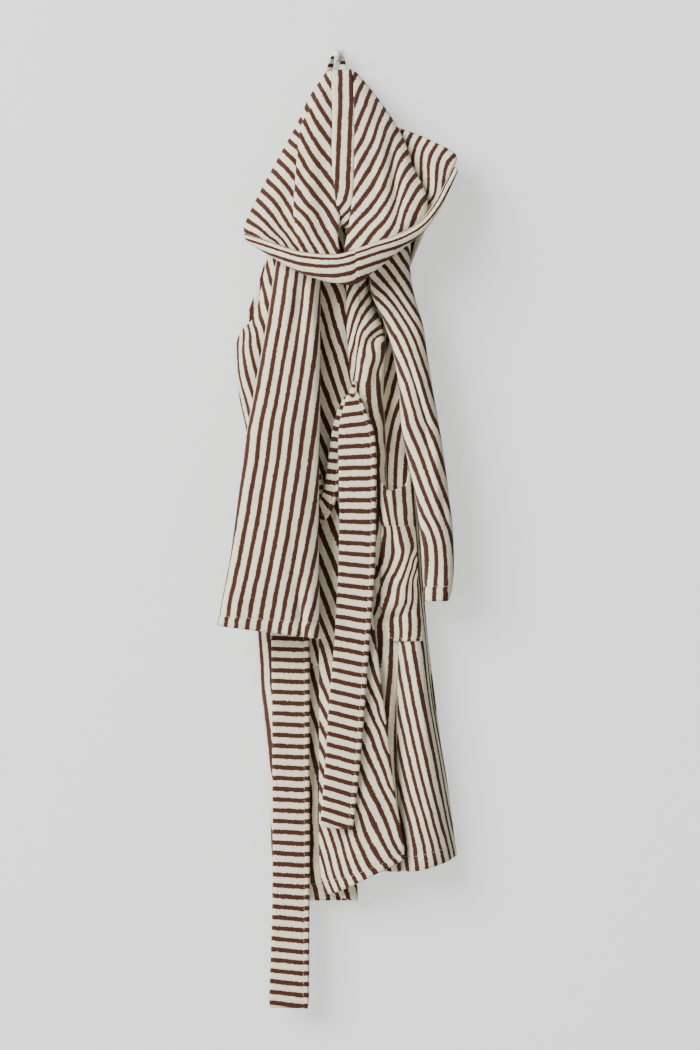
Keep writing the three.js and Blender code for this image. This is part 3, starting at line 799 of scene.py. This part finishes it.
left_rows = [
    # height, then free edge, lobe, turn, recess, rise, flute, side
    [-150, [8, -35], [24, -37], [38, -32], [46, -24], [56, -20], [70, -17], [82, -11.8]],
    [-230, [12, -42], [27, -47], [38, -42], [44, -26], [58, -20], [76, -17], [92, -11.8]],
    [-325, [14, -45], [28, -53], [38, -47], [43, -26], [58, -19], [76, -17], [90, -11.8]],
    [-360, [14, -46], [30, -55], [47, -49], [54, -27], [62, -19], [76, -17], [90, -11.8]],
    [-392, [15, -46], [32, -56], [60, -50], [65, -27], [70, -19], [80, -17], [91, -11.8]],
    [-430, [18, -47], [35, -57], [62, -51], [66, -28], [72, -19], [82, -17], [93, -11.8]],
    [-475, [23, -47], [36, -55], [56, -51], [63, -30], [73, -19], [84, -17], [97, -11.8]],
    [-535, [30, -46], [40, -52], [58, -47], [66, -31], [76, -21], [88, -18], [103, -11.8]],
    [-610, [42, -48], [48, -51], [59, -46], [68, -37], [82, -36], [99, -31], [110, -11.8]],
    [-665, [46, -46], [51, -49], [60, -45], [70, -39], [88, -44], [106, -38], [115, -11.8]],
    [-766, [51, -35], [56, -36], [62, -37], [76, -38], [94, -46], [112, -40], [121, -11.8]],
    [-822, [46, -34], [58, -36], [70, -37], [84, -34], [100, -46], [117, -40], [126, -11.8]],
    [-906, [40, -35], [60, -37], [74, -37], [84, -29], [100, -45], [122, -42], [134, -11.8]],
    [-1018, [36, -37], [62, -40], [78, -38], [84, -29], [106, -48], [138, -43], [153, -11.8]],
    [-1126, [36, -40, -18], [66, -42, -19], [82, -40, -20], [90, -30, -20], [113, -51, -18],
     [148, -45, -8], [167, -11.8]],
]
LEFT_STEPS = (10, 8)
left_grid = laid(sections_of(left_rows), *LEFT_STEPS)
left_creases = [
    (30, -395, 26, -468, 5, -4.5), (60, -432, 55, -454, 7, -4.0), (44, -340, 38, -400, 6, 2.5),
    (34, -414, 64, -386, 4, -4.5), (32, -400, 62, -376, 6, 4.0), (40, -352, 62, -366, 4, -3.5),
    (44, -430, 42, -500, 6, 3.0),
    (24, -300, 20, -460, 6, 2.0), (52, -560, 56, -800, 7, 1.8), (78, -840, 84, -1100, 6, -3.0),
    (108, -840, 140, -1110, 9, 2.2), (96, -820, 104, -1100, 7, -2.2),
]
left_cloth = creased(left_grid, left_creases)
left_front_weave = [
    (1, [(20, -329), (15, -341), (13, -348)]),
    (2, [(45, -315), (33, -331), (23, -351), (16, -368), (13, -384)]),
    (3, [(40, -341), (33, -354), (28, -372), (23, -390), (16, -410)]),
    (4, [(42, -358), (34, -370), (30, -384), (26, -407), (19, -444)]),
    (5, [(50, -372), (39, -385), (33, -397), (30, -412), (28, -432), (24, -468)]),
    (6, [(65, -385), (53, -397), (40, -405), (39, -418), (35, -432), (29, -470)]),
    (7, [(48, -404), (54, -420), (53, -432), (46, -448), (43, -458), (45, -475), (45, -490),
         (47, -507), (51, -528)]),
    (8, [(56, -400), (63, -414), (60, -432), (56, -454), (58, -465), (56, -478), (60, -501),
         (65, -528)]),
    (9, [(65, -444), (69, -465), (75, -484), (78, -504), (82, -528)]),
    (7, [(56, -528), (58, -565)]),
    (8, [(67, -528), (69, -555), (67, -583), (69, -648), (64, -688), (52, -740), (48, -778)]),
    (9, [(74, -540), (81, -570), (86, -613), (79, -688), (71, -723), (58, -760), (51, -790)]),
    (10, [(96, -615), (91, -700), (73, -753), (61, -793)]),
    (11, [(106, -653), (106, -695), (84, -753), (77, -793)]),
    (9, [(48, -794), (48, -829)]),
    (10, [(63, -787), (62, -823), (59, -859), (58, -887)]),
    (11, [(78, -784), (76, -823), (74, -866), (70, -916), (68, -949)]),
    (12, [(81, -962), (82, -1010), (88, -1050), (93, -1095), (100, -1153)]),
    (11, [(77, -1074), (87, -1151)]),
    (10, [(64, -1074), (75, -1148)]),
]
left_side_weave = [
    (10, [(82, -410), (76, -425), (74, -441)]),
    (11, [(90, -430), (83, -448), (78, -465), (76, -480)]),
    (12, [(98, -454), (95, -472), (86, -491), (80, -510)]),
    (13, [(99, -500), (93, -512), (88, -527)]),
    (12, [(90, -813), (96, -846), (100, -874), (107, -912), (116, -952)]),
    (13, [(101, -802), (107, -837), (114, -877), (121, -916), (128, -952)]),
    (14, [(114, -800), (121, -837), (127, -877), (134, -920), (140, -952)]),
    (11, [(86, -849), (91, -883), (98, -920), (107, -966)]),
    (10, [(83, -894), (88, -930), (96, -966)]),
    (14, [(142, -962), (151, -1018), (157, -1052), (162, -1081), (168, -1100)]),
    (13, [(138, -999), (144, -1034), (152, -1066), (159, -1098), (168, -1131)]),
    (12, [(127, -1005), (135, -1039), (143, -1074), (151, -1103), (160, -1134)]),
    (11, [(115, -999), (123, -1031), (131, -1065), (139, -1095), (150, -1139)]),
    (10, [(104, -999), (112, -1034), (122, -1066), (130, -1095), (140, -1145)]),
    (9, [(86, -962), (93, -1002), (99, -1026), (107, -1057), (115, -1087), (123, -1114),
         (129, -1150)]),
    (8, [(97, -1057), (104, -1082), (109, -1114), (115, -1153)]),
]
left_stripes = woven(left_grid, (0, 3 * LEFT_STEPS[0], left_front_weave),
                     (3 * LEFT_STEPS[0] + 1, 5 * LEFT_STEPS[0], left_side_weave))
front_left = cloth("front_left", waved(left_cloth, 5, 1.2), left_stripes,
                   hems=[("foot", HEM), ("first", HEM, "blind")])
declare("front_left")


# ---- the sleeves ----------------------------------------------------------------------------
# Each sleeve is one piece sewn into a tube, with the stripes running down the arm and a
# turned cuff. Both hang flat, the right one broad side out and the left one edge out.

SLEEVE_AROUND, SLEEVE_DOWN = 96, 10
FLATTENED = 0.72      # 1 makes an oval, and less makes a tube that lies flatter


def tube_rows(rows):
    """A sleeve from rows of height, left side, right side, front, back and right side's rise."""
    angle = np.linspace(0, 2 * np.pi, SLEEVE_AROUND, endpoint=False) + np.pi
    flat_x = np.sign(np.cos(angle)) * np.abs(np.cos(angle)) ** FLATTENED
    flat_y = np.sign(np.sin(angle)) * np.abs(np.sin(angle)) ** FLATTENED
    sections = []
    for row in rows:
        height, left, right, front, rear, rise = (row + [0])[:6]
        x = (left + right) / 2 + flat_x * (right - left) / 2
        y = (front + rear) / 2 + flat_y * (rear - front) / 2
        sections.append(np.stack([x, y, height + rise * (x - left) / (right - left)], axis=1))
    sections = np.array(sections)
    return np.stack([through(sections[:, j], SLEEVE_DOWN) for j in range(SLEEVE_AROUND)], axis=1)


sleeve_right_rows = [
    [-222, -64, -12, -64, -38.4],
    [-293, -84, -22, -70, -40],
    [-366, -95, -25, -79, -42],
    [-423, -105, -25, -84, -44],
    [-483, -116, -25, -88, -47],
    [-540, -126, -26, -90, -51],
    [-633, -138, -27, -91, -55],
    [-703, -147, -27, -91, -57],
    [-766, -159, -26, -92, -59],
    [-800, -165, -25, -92, -60, -18],
]
sleeve_right_grid = tube_rows(sleeve_right_rows)
sleeve_right_creases = [
    (-45, -306, -56, -392, 6, -4.0), (-60, -290, -72, -390, 7, 2.6),
    (-60, -560, -90, -780, 14, 2.2), (-54, -764, -46, -824, 5, -5.0),
    (-104, -330, -112, -420, 6, 1.8), (-36, -300, -34, -420, 6, 2.2),
    (-58, -740, -44, -806, 6, -2.2), (-34, -740, -40, -820, 6, 2.4),
    (-100, -480, -128, -760, 14, -1.4),
]
sleeve_right_cloth = creased(sleeve_right_grid, sleeve_right_creases)


def woven_tube(grid, lines):
    """Stripe places on a sleeve: the lines give its front, and the back goes on to the seam."""
    around = np.concatenate([grid, grid[:, :1]], axis=1)
    return woven(around, (SLEEVE_AROUND // 12, SLEEVE_AROUND * 5 // 12, lines), ease=0.2)


sleeve_right_weave = [
    (0, [(-125, -528), (-132, -603), (-142, -668), (-152, -733), (-161, -768), (-165, -795)]),
    (1, [(-106, -528), (-112, -565), (-121, -615), (-132, -678), (-142, -728), (-151, -768),
         (-153, -798)]),
    (2, [(-92, -528), (-98, -578), (-109, -653), (-119, -703), (-129, -748), (-137, -775),
         (-139, -803)]),
    (3, [(-77, -528), (-84, -578), (-92, -635), (-102, -683), (-112, -735), (-119, -770),
         (-124, -805)]),
    (4, [(-63, -528), (-69, -578), (-77, -633), (-84, -678), (-94, -728), (-104, -778),
         (-109, -809)]),
    (5, [(-48, -528), (-54, -578), (-62, -628), (-69, -678), (-79, -730), (-89, -778),
         (-94, -813)]),
    (6, [(-31, -528), (-39, -578), (-47, -628), (-56, -678), (-64, -728), (-74, -778),
         (-79, -817)]),
    (7, [(-29, -615), (-32, -640), (-42, -690), (-49, -728), (-59, -778), (-63, -820)]),
    (8, [(-28, -683), (-37, -728), (-42, -753), (-48, -785), (-51, -810)]),
    (9, [(-25, -740), (-32, -765), (-42, -798), (-47, -825)]),
    (0, [(-83, -305), (-92, -355), (-102, -423), (-112, -488), (-125, -568)]),
    (1, [(-68, -305), (-74, -355), (-87, -423), (-98, -488), (-109, -568)]),
    (2, [(-55, -308), (-61, -355), (-73, -423), (-84, -488), (-96, -568)]),
    (3, [(-44, -310), (-48, -360), (-59, -423), (-71, -488), (-82, -568)]),
    (4, [(-35, -318), (-38, -360), (-46, -423), (-56, -488), (-67, -568)]),
    (5, [(-27, -353), (-31, -423), (-41, -488), (-52, -568)]),
]
sleeve_right_stripes = woven_tube(sleeve_right_grid, sleeve_right_weave)
sleeve_right = cloth("sleeve_right", waved(sleeve_right_cloth, 7, 1.5, 90), sleeve_right_stripes,
                     closed=True, hems=[("foot", HEM)])
declare("sleeve_right")

sleeve_left_rows = [
    [-236, 48.6, 104, -62, -22],
    [-301, 45.2, 101, -66, -22],
    [-340, 51, 107, -68, -22.5],
    [-382, 69, 119, -68, -24],
    [-430, 82, 126, -68, -24],
    [-473, 88, 133, -70, -25],
    [-531, 92, 143, -72, -26],
    [-578, 102, 150, -72, -25],
    [-627, 112, 156, -72, -23],
    [-670, 117, 161, -71, -22],
    [-740, 123, 161, -70, -22],
    [-766, 122, 155, -69, -22],
]
sleeve_left_grid = tube_rows(sleeve_left_rows)
sleeve_left_creases = [
    (100, -440, 116, -484, 4, -3.0), (114, -480, 128, -527, 4, -3.5),
    (108, -440, 124, -490, 6, 2.4), (122, -525, 131, -565, 5, -4.0),
    (143, -610, 153, -670, 5, -4.0), (60, -330, 110, -430, 8, 2.2),
    (134, -560, 144, -640, 6, 3.0), (128, -650, 134, -760, 6, -2.0),
]
sleeve_left_cloth = creased(sleeve_left_grid, sleeve_left_creases)
sleeve_left_weave = [
    (8, [(53, -304), (65, -318), (75, -335), (86, -354), (98, -368), (112, -385), (119, -404),
         (123, -422)]),
    (9, [(69, -304), (79, -318), (90, -335), (105, -357), (113, -371), (120, -385)]),
    (10, [(88, -304), (98, -320), (106, -340)]),
    (7, [(44, -317), (56, -330), (70, -342), (86, -357), (102, -384), (110, -404), (115, -430),
         (125, -468)]),
    (6, [(41, -335), (53, -340), (66, -350), (76, -365), (98, -402), (109, -430), (119, -468),
         (126, -518)]),
    (5, [(41, -350), (52, -351), (62, -361), (76, -392), (88, -414), (99, -438), (109, -461),
         (118, -504)]),
    (4, [(100, -467), (103, -484), (109, -501), (120, -527)]),
    (3, [(98, -500), (100, -528)]),
    (2, [(87, -530), (98, -555), (111, -583), (118, -615), (131, -648), (143, -668),
         (149, -703), (152, -748)]),
    (3, [(99, -528), (116, -565), (131, -600), (143, -633)]),
    (4, [(122, -528), (131, -560)]),
    (5, [(133, -528), (139, -555), (148, -585)]),
    (1, [(112, -620), (121, -648), (133, -673), (139, -703), (138, -740), (136, -770)]),
    (0, [(128, -678), (127, -708), (123, -740), (122, -768)]),
]
sleeve_left_stripes = woven_tube(sleeve_left_grid, sleeve_left_weave)
sleeve_left = cloth("sleeve_left", waved(sleeve_left_cloth, 9, 1.3), sleeve_left_stripes,
                    closed=True, hems=[("foot", HEM)])
declare("sleeve_left")


# ---- the hood -------------------------------------------------------------------------------
# Two panels and a centre strip, sewn to the neck. The hood hangs upside down in front, its
# crown tucked in and its brim turned up as a band that goes round the chest.

strip_rows = [
    {"at": [6, -27, -22], "width": 26},
    {"at": [7.5, -36, -42], "width": 28},
    {"at": [8.5, -56, -108], "width": 30},
    {"at": [8.3, -70, -155], "width": 28},
    {"at": [9.5, -79, -196], "width": 24},
    {"at": [9.5, -80.5, -222], "width": 18},
    {"at": [8.5, -78, -246], "width": 13},
]
STRIP_SHIFT = -4.5    # from a stripe to the middle of the robe
strip_grid = ribbon(strip_rows, 10)
strip_slip = np.interp(-strip_grid[:, :, 2], [74, 136, 192, 210, 222, 246],
                       [0, 2.6, 5, 9, 18, 42])
strip_stripes = strip_grid[:, :, 0] + STRIP_SHIFT + strip_slip
strip = cloth("hood_strip", strip_grid, strip_stripes)
declare("hood_centre")

hood_right_rows = [
    # seam, fold, tuck, side, outline, neck
    [[-8, -26, -23], [-10, -25, -24], [-12, -23, -24], [-14, -21, -25], [-16, -17, -26],
     [-13, -12, -27]],
    [[-8, -41, -60], [-24, -40, -60], [-28, -36, -60], [-33, -32, -60], [-38, -26, -60],
     [-30, -13, -60]],
    [[-8, -53, -97], [-47, -49, -97], [-46, -42, -97], [-50, -37, -97], [-55, -29, -97],
     [-42, -13, -97]],
    [[-8, -64, -136], [-53, -61, -136], [-50, -53, -136], [-62, -48, -136], [-76, -34, -136],
     [-56, -13, -136]],
    [[-5, -74, -179], [-57, -72, -179], [-53, -63, -179], [-76, -58, -179], [-99, -42, -179],
     [-72, -13, -179]],
    [[3, -83, -226], [-59, -84, -226], [-55, -74, -226], [-90, -70, -226], [-122, -52, -226],
     [-88, -14, -226]],
    [[0, -92, -258], [-54, -93, -260], [-50, -84, -258], [-90, -78, -254], [-129, -57, -246],
     [-94, -15, -242]],
    [[3, -99, -286], [-50, -96, -282], [-47, -89, -279], [-87, -80, -270], [-127, -59, -257],
     [-97, -17, -250]],
    [[3, -98, -308], [-48, -92, -298], [-45, -85, -294], [-84, -77, -279], [-120, -53, -258],
     [-97, -18, -253]],
]
HOOD_STEPS = (12, 8)
hood_right_grid = laid(np.array(hood_right_rows, dtype=float), *HOOD_STEPS)
hood_right_weave = [
    (1, [(-28, -37), (-19, -56), (-9, -74)]),
    (2, [(-33, -54), (-28, -70), (-18, -86), (-8, -102)]),
    (3, [(-40, -74), (-31, -94), (-18, -114), (-7, -129)]),
    (4, [(-46, -96), (-36, -118), (-20, -142), (-6, -157)]),
    (5, [(-49, -118), (-39, -139), (-20, -166), (-3, -190)]),
    (6, [(-52, -145), (-42, -166), (-20, -193), (1, -220)]),
    (7, [(-55, -166), (-39, -190), (-18, -217), (1, -249)]),
    (8, [(-58, -190), (-42, -217), (-20, -246), (-2, -278)]),
    (9, [(-61, -212), (-44, -228), (-31, -257), (-14, -283)]),
    (10, [(-59, -236), (-44, -254), (-31, -276)]),
    (11, [(-56, -257), (-46, -276)]),
]
hood_right_side_weave = [
    (1, [(-29, -35), (-19, -56)]),
    (2, [(-36, -51), (-28, -70)]),
    (3, [(-43, -71), (-31, -94)]),
    (4, [(-51, -95), (-45, -102)]),
    (5, [(-59, -110), (-49, -120)]),
    (6, [(-66, -123), (-50, -139)]),
    (7, [(-73, -138), (-54, -159)]),
    (8, [(-81, -151), (-58, -179)]),
    (9, [(-89, -166), (-74, -182), (-59, -203)]),
    (10, [(-97, -179), (-77, -201), (-60, -230)]),
    (11, [(-104, -194), (-85, -214), (-70, -238), (-53, -264)]),
    (12, [(-111, -206), (-93, -226), (-77, -249), (-51, -280)]),
    (13, [(-118, -221), (-102, -236), (-87, -254), (-69, -278)]),
    (14, [(-124, -237), (-109, -247), (-93, -262)]),
    (15, [(-131, -249), (-111, -258), (-85, -273)]),
]
hood_right_stripes = woven(hood_right_grid, (0, HOOD_STEPS[0], hood_right_weave),
                           (2 * HOOD_STEPS[0], 4 * HOOD_STEPS[0] - 2, hood_right_side_weave))
hood_right_creases = [
    (-20, -60, -44, -270, 10, 2.4), (-30, -90, -14, -250, 9, -1.8),
    (-70, -160, -108, -244, 10, 1.8), (-66, -190, -88, -262, 7, -1.6),
    (-45, -236, -16, -286, 7, 2.2),
]
hood_right_cloth = creased(hood_right_grid, hood_right_creases)
hood_right = cloth("hood_right", waved(hood_right_cloth, 11, 0.9), hood_right_stripes)
declare("hood_right")

hood_left_rows = [
    # seam, swell, crest, tuck, wing, brim, neck
    [[21, -26, -22], [24, -26, -24], [27, -24, -26], [28, -21, -27], [27, -18, -27], [25, -15, -27],
     [22, -10.9, -27]],
    [[24, -41, -58], [38, -40, -59], [54, -34, -60], [53, -28, -60], [50, -23, -60], [46, -18, -60],
     [38, -10.9, -60]],
    [[25, -53, -97], [52, -53, -97], [79, -43, -97], [77, -35, -97], [74, -28, -97], [68, -21, -97],
     [56, -10.9, -97]],
    [[25, -64, -136], [60, -64, -133], [94, -52, -127], [88, -42, -120], [112, -41, -117],
     [138, -44, -127], [100, -10.9, -130]],
    [[24, -74, -179], [68, -76, -172], [105, -61, -161], [97, -50, -156], [132, -50, -148],
     [166, -52, -145], [116, -10.9, -150]],
    [[20, -83, -226], [72, -87, -214], [116, -71, -184], [109, -60, -180], [134, -58, -174],
     [157, -58, -170], [118, -13, -170]],
    [[15, -92, -258], [75, -95, -240], [124, -79, -206], [119, -68, -203], [135, -65, -197],
     [148, -63, -190], [118, -14, -190]],
    [[10, -99, -286], [74, -98, -261], [122, -82, -230], [122, -73, -227], [134, -68, -215],
     [142, -65, -205], [99, -16, -236]],
    [[10, -98, -308], [70, -94, -280], [114, -80, -246], [117, -71, -241], [128, -66, -228],
     [134, -62, -218], [97, -17, -310]],
]
hood_left_grid = laid(np.array(hood_left_rows, dtype=float), *HOOD_STEPS)
hood_left_weave = [
    (1, [(28, -24), (22, -37)]),
    (2, [(37, -38), (29, -56), (24, -72)]),
    (3, [(40, -75), (30, -94), (25, -111)]),
    (4, [(52, -73), (45, -99), (36, -120), (25, -142)]),
    (5, [(65, -80), (57, -97), (52, -120), (37, -147), (24, -175)]),
    (6, [(76, -92), (67, -109), (62, -128), (53, -151), (37, -175), (23, -200)]),
    (7, [(85, -106), (75, -123), (69, -144), (57, -175), (36, -204), (19, -228)]),
    (8, [(92, -123), (81, -138), (75, -163), (63, -196), (47, -220), (16, -253)]),
    (9, [(99, -139), (87, -152), (81, -170), (76, -194), (63, -218), (44, -242), (8, -283)]),
    (10, [(106, -156), (94, -170), (87, -189), (81, -212), (73, -229), (53, -252), (34, -278)]),
    (11, [(110, -173), (98, -187), (90, -207), (85, -224), (81, -241), (69, -257), (57, -273)]),
    (12, [(118, -187), (105, -207), (94, -226), (90, -241), (90, -250)]),
    (13, [(128, -200), (116, -213), (108, -234), (100, -249)]),
]
hood_wing_weave = [
    (7, [(103, -114), (98, -125), (98, -131)]),
    (8, [(118, -118), (110, -130), (106, -144), (107, -155)]),
    (9, [(128, -122), (119, -139), (117, -157), (117, -183)]),
    (10, [(141, -128), (131, -144), (128, -163), (128, -196)]),
    (11, [(153, -135), (143, -149), (139, -170), (136, -204)]),
    (12, [(167, -142), (155, -152), (149, -175), (146, -192), (134, -215)]),
]
hood_left_stripes = woven(hood_left_grid, (0, 2 * HOOD_STEPS[0], hood_left_weave),
                          (3 * HOOD_STEPS[0], 5 * HOOD_STEPS[0] - 2, hood_wing_weave))
hood_left_creases = [
    (76, -120, 87, -244, 6, -4.0), (62, -100, 66, -250, 10, 3.0), (92, -130, 104, -220, 7, 2.6),
    (36, -90, 30, -280, 12, 1.8), (80, -255, 100, -240, 5, 3.0), (120, -130, 126, -200, 6, -2.0),
    (138, -135, 136, -205, 7, 2.0),
]
hood_left_cloth = creased(hood_left_grid, hood_left_creases)
hood_left = cloth("hood_left", waved(hood_left_cloth, 13, 0.9), hood_left_stripes)
declare("hood_left")

band_rows = [
    # inside foot, underside, front, lip, rolled edge
    [[-119, -63, -264], [-122, -67, -266], [-126, -72, -263], [-130, -70, -257], [-128, -66, -255]],
    [[-100, -80, -277], [-102, -86, -280], [-104, -92, -275], [-104, -90, -266], [-102, -86, -265]],
    [[-80, -88, -287], [-82, -96, -292], [-84, -102, -285], [-85, -100, -273], [-83, -95, -272]],
    [[-46, -93, -304], [-48, -106, -311], [-50, -114, -300], [-51, -112, -284], [-50, -106, -283]],
    [[-1, -98, -313], [-1, -112, -325], [-1, -122, -310], [-1, -120, -288], [-1, -113, -287]],
    [[24, -97, -310], [25, -111, -326], [25, -121, -310], [24, -120, -282], [23, -113, -281]],
    [[50, -96, -299], [51, -108, -308], [51, -116, -294], [50, -115, -273], [48, -108, -272]],
    [[88, -89, -270], [90, -99, -276], [91, -106, -270], [90, -106, -259], [87, -100, -257]],
    [[114, -83, -252], [117, -92, -255], [118, -98, -252], [117, -97, -243], [113, -92, -242]],
    [[134, -72, -226], [138, -80, -227], [140, -86, -224], [139, -85, -217], [135, -81, -215]],
    [[149, -66, -196], [153, -71, -197], [155, -76, -194], [154, -76, -189], [150, -72, -188]],
    [[161, -61, -168], [164, -64, -170], [167, -68, -168], [167, -69, -163], [164, -66, -162]],
]
BAND_STEPS = (6, 10)
BAND_JOIN, JOIN_SLIP = 25, 2.6
band_grid = laid(np.array(band_rows, dtype=float), *BAND_STEPS)
below_lip = -arc_across(band_grid, 3 * BAND_STEPS[0])
band_stripes = PITCH * np.interp(below_lip, [-12, -4, 5, 15, 28, 43], [-1.2, -0.3, 1, 2, 3, 4])
band_stripes = band_stripes + JOIN_SLIP / (1 + np.exp((BAND_JOIN - band_grid[:, :, 0]) / 0.4))
band_cloth = creased(band_grid, [(BAND_JOIN, -272, BAND_JOIN, -334, 2.2, -1.6)])
band = cloth("hood_brim", band_cloth, band_stripes)
declare("hood_band")


# ---- the pockets ----------------------------------------------------------------------------
# Patch pockets with a turned top. The left one gapes and sags. The right one is mostly
# covered by the sleeve and the belt.

PATCH_STEPS = (36, 70)
POCKET_TOP = 48
POCKET_GAP = 0.7
MOUTH_PLACES = (0, 0.16, 0.5, 0.82, 1)     # across the pocket, for its mouth's heights


def patch(grid, rows, lines):
    """The part of a panel between two of its rows and two of its lines."""
    down = np.linspace(*rows, PATCH_STEPS[1] + 1)
    over = np.linspace(*lines, PATCH_STEPS[0] + 1)
    out = np.zeros((len(down), len(over), 3))
    for a, i in enumerate(down):
        for b, j in enumerate(over):
            r, c = min(int(i), grid.shape[0] - 2), min(int(j), grid.shape[1] - 2)
            top = grid[r, c] + (grid[r, c + 1] - grid[r, c]) * (j - c)
            foot = grid[r + 1, c] + (grid[r + 1, c + 1] - grid[r + 1, c]) * (j - c)
            out[a, b] = top + (foot - top) * (i - r)
    return out


def pocket_on(front_grid, rows, lines, gape, mouth=(0, 0, 0, 0, 0)):
    """A patch that stands off the front: mouth is how far its top edge rises, from side to side."""
    base = patch(front_grid, rows, lines)
    shares_down = np.linspace(0, 1, base.shape[0])[:, None]
    shares_over = np.linspace(0, 1, base.shape[1])[None, :]
    out = base + normals_of(base, False) * (TERRY + POCKET_GAP)
    taut = out[:, :1, 1] * (1 - shares_over) + out[:, -1:, 1] * shares_over
    bulge = gape * np.sin(np.pi * shares_over) ** 0.7 * (1 - shares_down) ** 1.5
    out[:, :, 1] = np.minimum(out[:, :, 1], taut - bulge)
    rise = through([[share, height, 0] for share, height in zip(MOUTH_PLACES, mouth)], 12)
    rise = np.interp(shares_over, rise[:, 0], rise[:, 1])
    out[:, :, 2] += rise * np.clip(1 - shares_down * 3.2, 0, 1) ** 1.6
    return out


pocket_left_grid = pocket_on(left_cloth, (8 * LEFT_STEPS[1], 11 * LEFT_STEPS[1]),
                             (2 * LEFT_STEPS[0], 5 * LEFT_STEPS[0]), 12, (9, 3, -5, 0, 24))
pocket_left_weave = [
    (0, [(61, -616), (63, -640), (66, -658), (70, -666), (64, -688), (63, -712), (54, -730)]),
    (1, [(66, -616), (70, -637), (73, -659), (78, -677), (79, -693), (75, -712), (70, -728),
         (60, -745), (55, -764), (50, -782)]),
    (2, [(79, -616), (81, -648), (84, -667), (87, -683), (93, -700), (89, -712), (77, -732),
         (73, -753), (70, -769), (62, -786), (61, -814)]),
    (3, [(94, -614), (98, -640), (100, -664), (102, -680), (105, -696), (101, -712), (95, -733),
         (86, -753), (85, -773), (78, -783), (78, -814)]),
    (4, [(107, -637), (108, -661), (115, -680), (115, -696), (106, -724), (98, -745),
         (97, -769), (90, -780), (91, -812)]),
    (5, [(109, -712), (107, -728), (106, -753), (101, -777), (101, -814)]),
    (6, [(110, -736), (113, -769), (115, -799)]),
]
pocket_left_creases = [
    (46, -800, 102, -784, 4, -6.0), (50, -778, 100, -766, 9, 6.0), (70, -650, 100, -700, 9, 4.0),
    (80, -650, 70, -760, 7, -3.0), (104, -640, 112, -700, 5, -3.0), (100, -720, 84, -780, 6, 3.0),
    (58, -620, 62, -668, 4, -3.0),
]
pocket_left_cloth = creased(pocket_left_grid, pocket_left_creases)
pocket_left_stripes = woven(pocket_left_grid, (0, PATCH_STEPS[0], pocket_left_weave))
pocket_left = cloth("pocket_left", pocket_left_cloth, pocket_left_stripes,
                    hems=[("top", POCKET_TOP), ("foot", 3)])
declare("pocket_left")

pocket_right_grid = pocket_on(right_cloth, (8 * RIGHT_STEPS[1], 10 * RIGHT_STEPS[1]),
                              (1.1 * RIGHT_STEPS[0], 1.65 * RIGHT_STEPS[0]), 4)
pocket_right_stripes = woven(pocket_right_grid, (0, PATCH_STEPS[0], right_side_weave))
pocket_right = cloth("pocket_right", pocket_right_grid, pocket_right_stripes,
                     hems=[("top", POCKET_TOP), ("foot", 3)])
declare("pocket_right")


# ---- the belt -------------------------------------------------------------------------------
# One long strip of two layers, turned and sewn, with its stripes across. It goes through a
# narrow loop at each side, sags between them and hangs down in two tails.

BELT_THICK, EDGE_STITCH = 5.0, 4
short_rows = [
    {"at": [21, -66, -478], "width": 12}, {"at": [23, -67, -492], "width": 22},
    {"at": [24, -66, -512], "width": 36}, {"at": [27, -64, -538], "width": 47},
    {"at": [28.5, -63, -640], "width": 47}, {"at": [27, -62, -720], "width": 47},
    {"at": [21, -62, -815], "width": 45}, {"at": [13, -62, -918], "width": 46},
    {"at": [7, -62, -1000], "width": 44}, {"at": [-1, -62, -1083], "width": 42},
]
sag_rows = [
    {"at": [16, -60, -484], "width": 10}, {"at": [4, -58.5, -516], "width": 12},
    {"at": [-4, -55, -570], "width": 14}, {"at": [-9, -54, -614], "width": 17},
    {"at": [-22, -51, -640], "width": 24}, {"at": [-34, -47, -620], "width": 26},
    {"at": [-42, -44, -580], "width": 30}, {"at": [-50, -41, -540], "width": 24},
    {"at": [-57, -37, -512], "width": 16},
]
long_rows = [
    {"at": [-62, -35, -502], "width": 14}, {"at": [-72, -35, -499], "width": 13},
    {"at": [-82, -35, -508], "width": 16}, {"at": [-83, -35, -540], "width": 28},
    {"at": [-76, -35, -600], "width": 44}, {"at": [-70, -34, -700], "width": 48},
    {"at": [-66, -36, -822], "width": 49}, {"at": [-65, -37, -1000], "width": 48},
    {"at": [-65, -37, -1184], "width": 48}, {"at": [-68, -36, -1337], "width": 52},
]


def belt_piece(name, rows, tilts, phase=None):
    """A stretch of the belt. tilts are (height, degrees) of its stripes, and phase is the height
    of one of them."""
    grid = ribbon(rows, 14, 16)
    over = arc_across(grid, 8)
    heights, degrees = zip(*tilts)
    tilt = np.radians(np.interp(-grid[:, 8, 2], [-height for height in heights], degrees))
    along = arc_down(grid)
    at_phase = 0 if phase is None else np.interp(-phase, -grid[:, 8, 2], along)
    stripes = (along - at_phase)[:, None] - over * np.tan(tilt)[:, None]
    piece = cloth(name, grid, stripes, BELT_THICK, hems=[("last", EDGE_STITCH)])
    declare(name)


belt_piece("belt_short_tail", short_rows,
           [(-500, -3), (-640, 1), (-800, 6), (-1083, 13)], phase=-656.6)
belt_piece("belt_sag", sag_rows, [(-400, 0), (-700, 0)])
belt_piece("belt_long_tail", long_rows,
           [(-800, 3), (-1100, 3), (-1337, 6)], phase=-820.4)
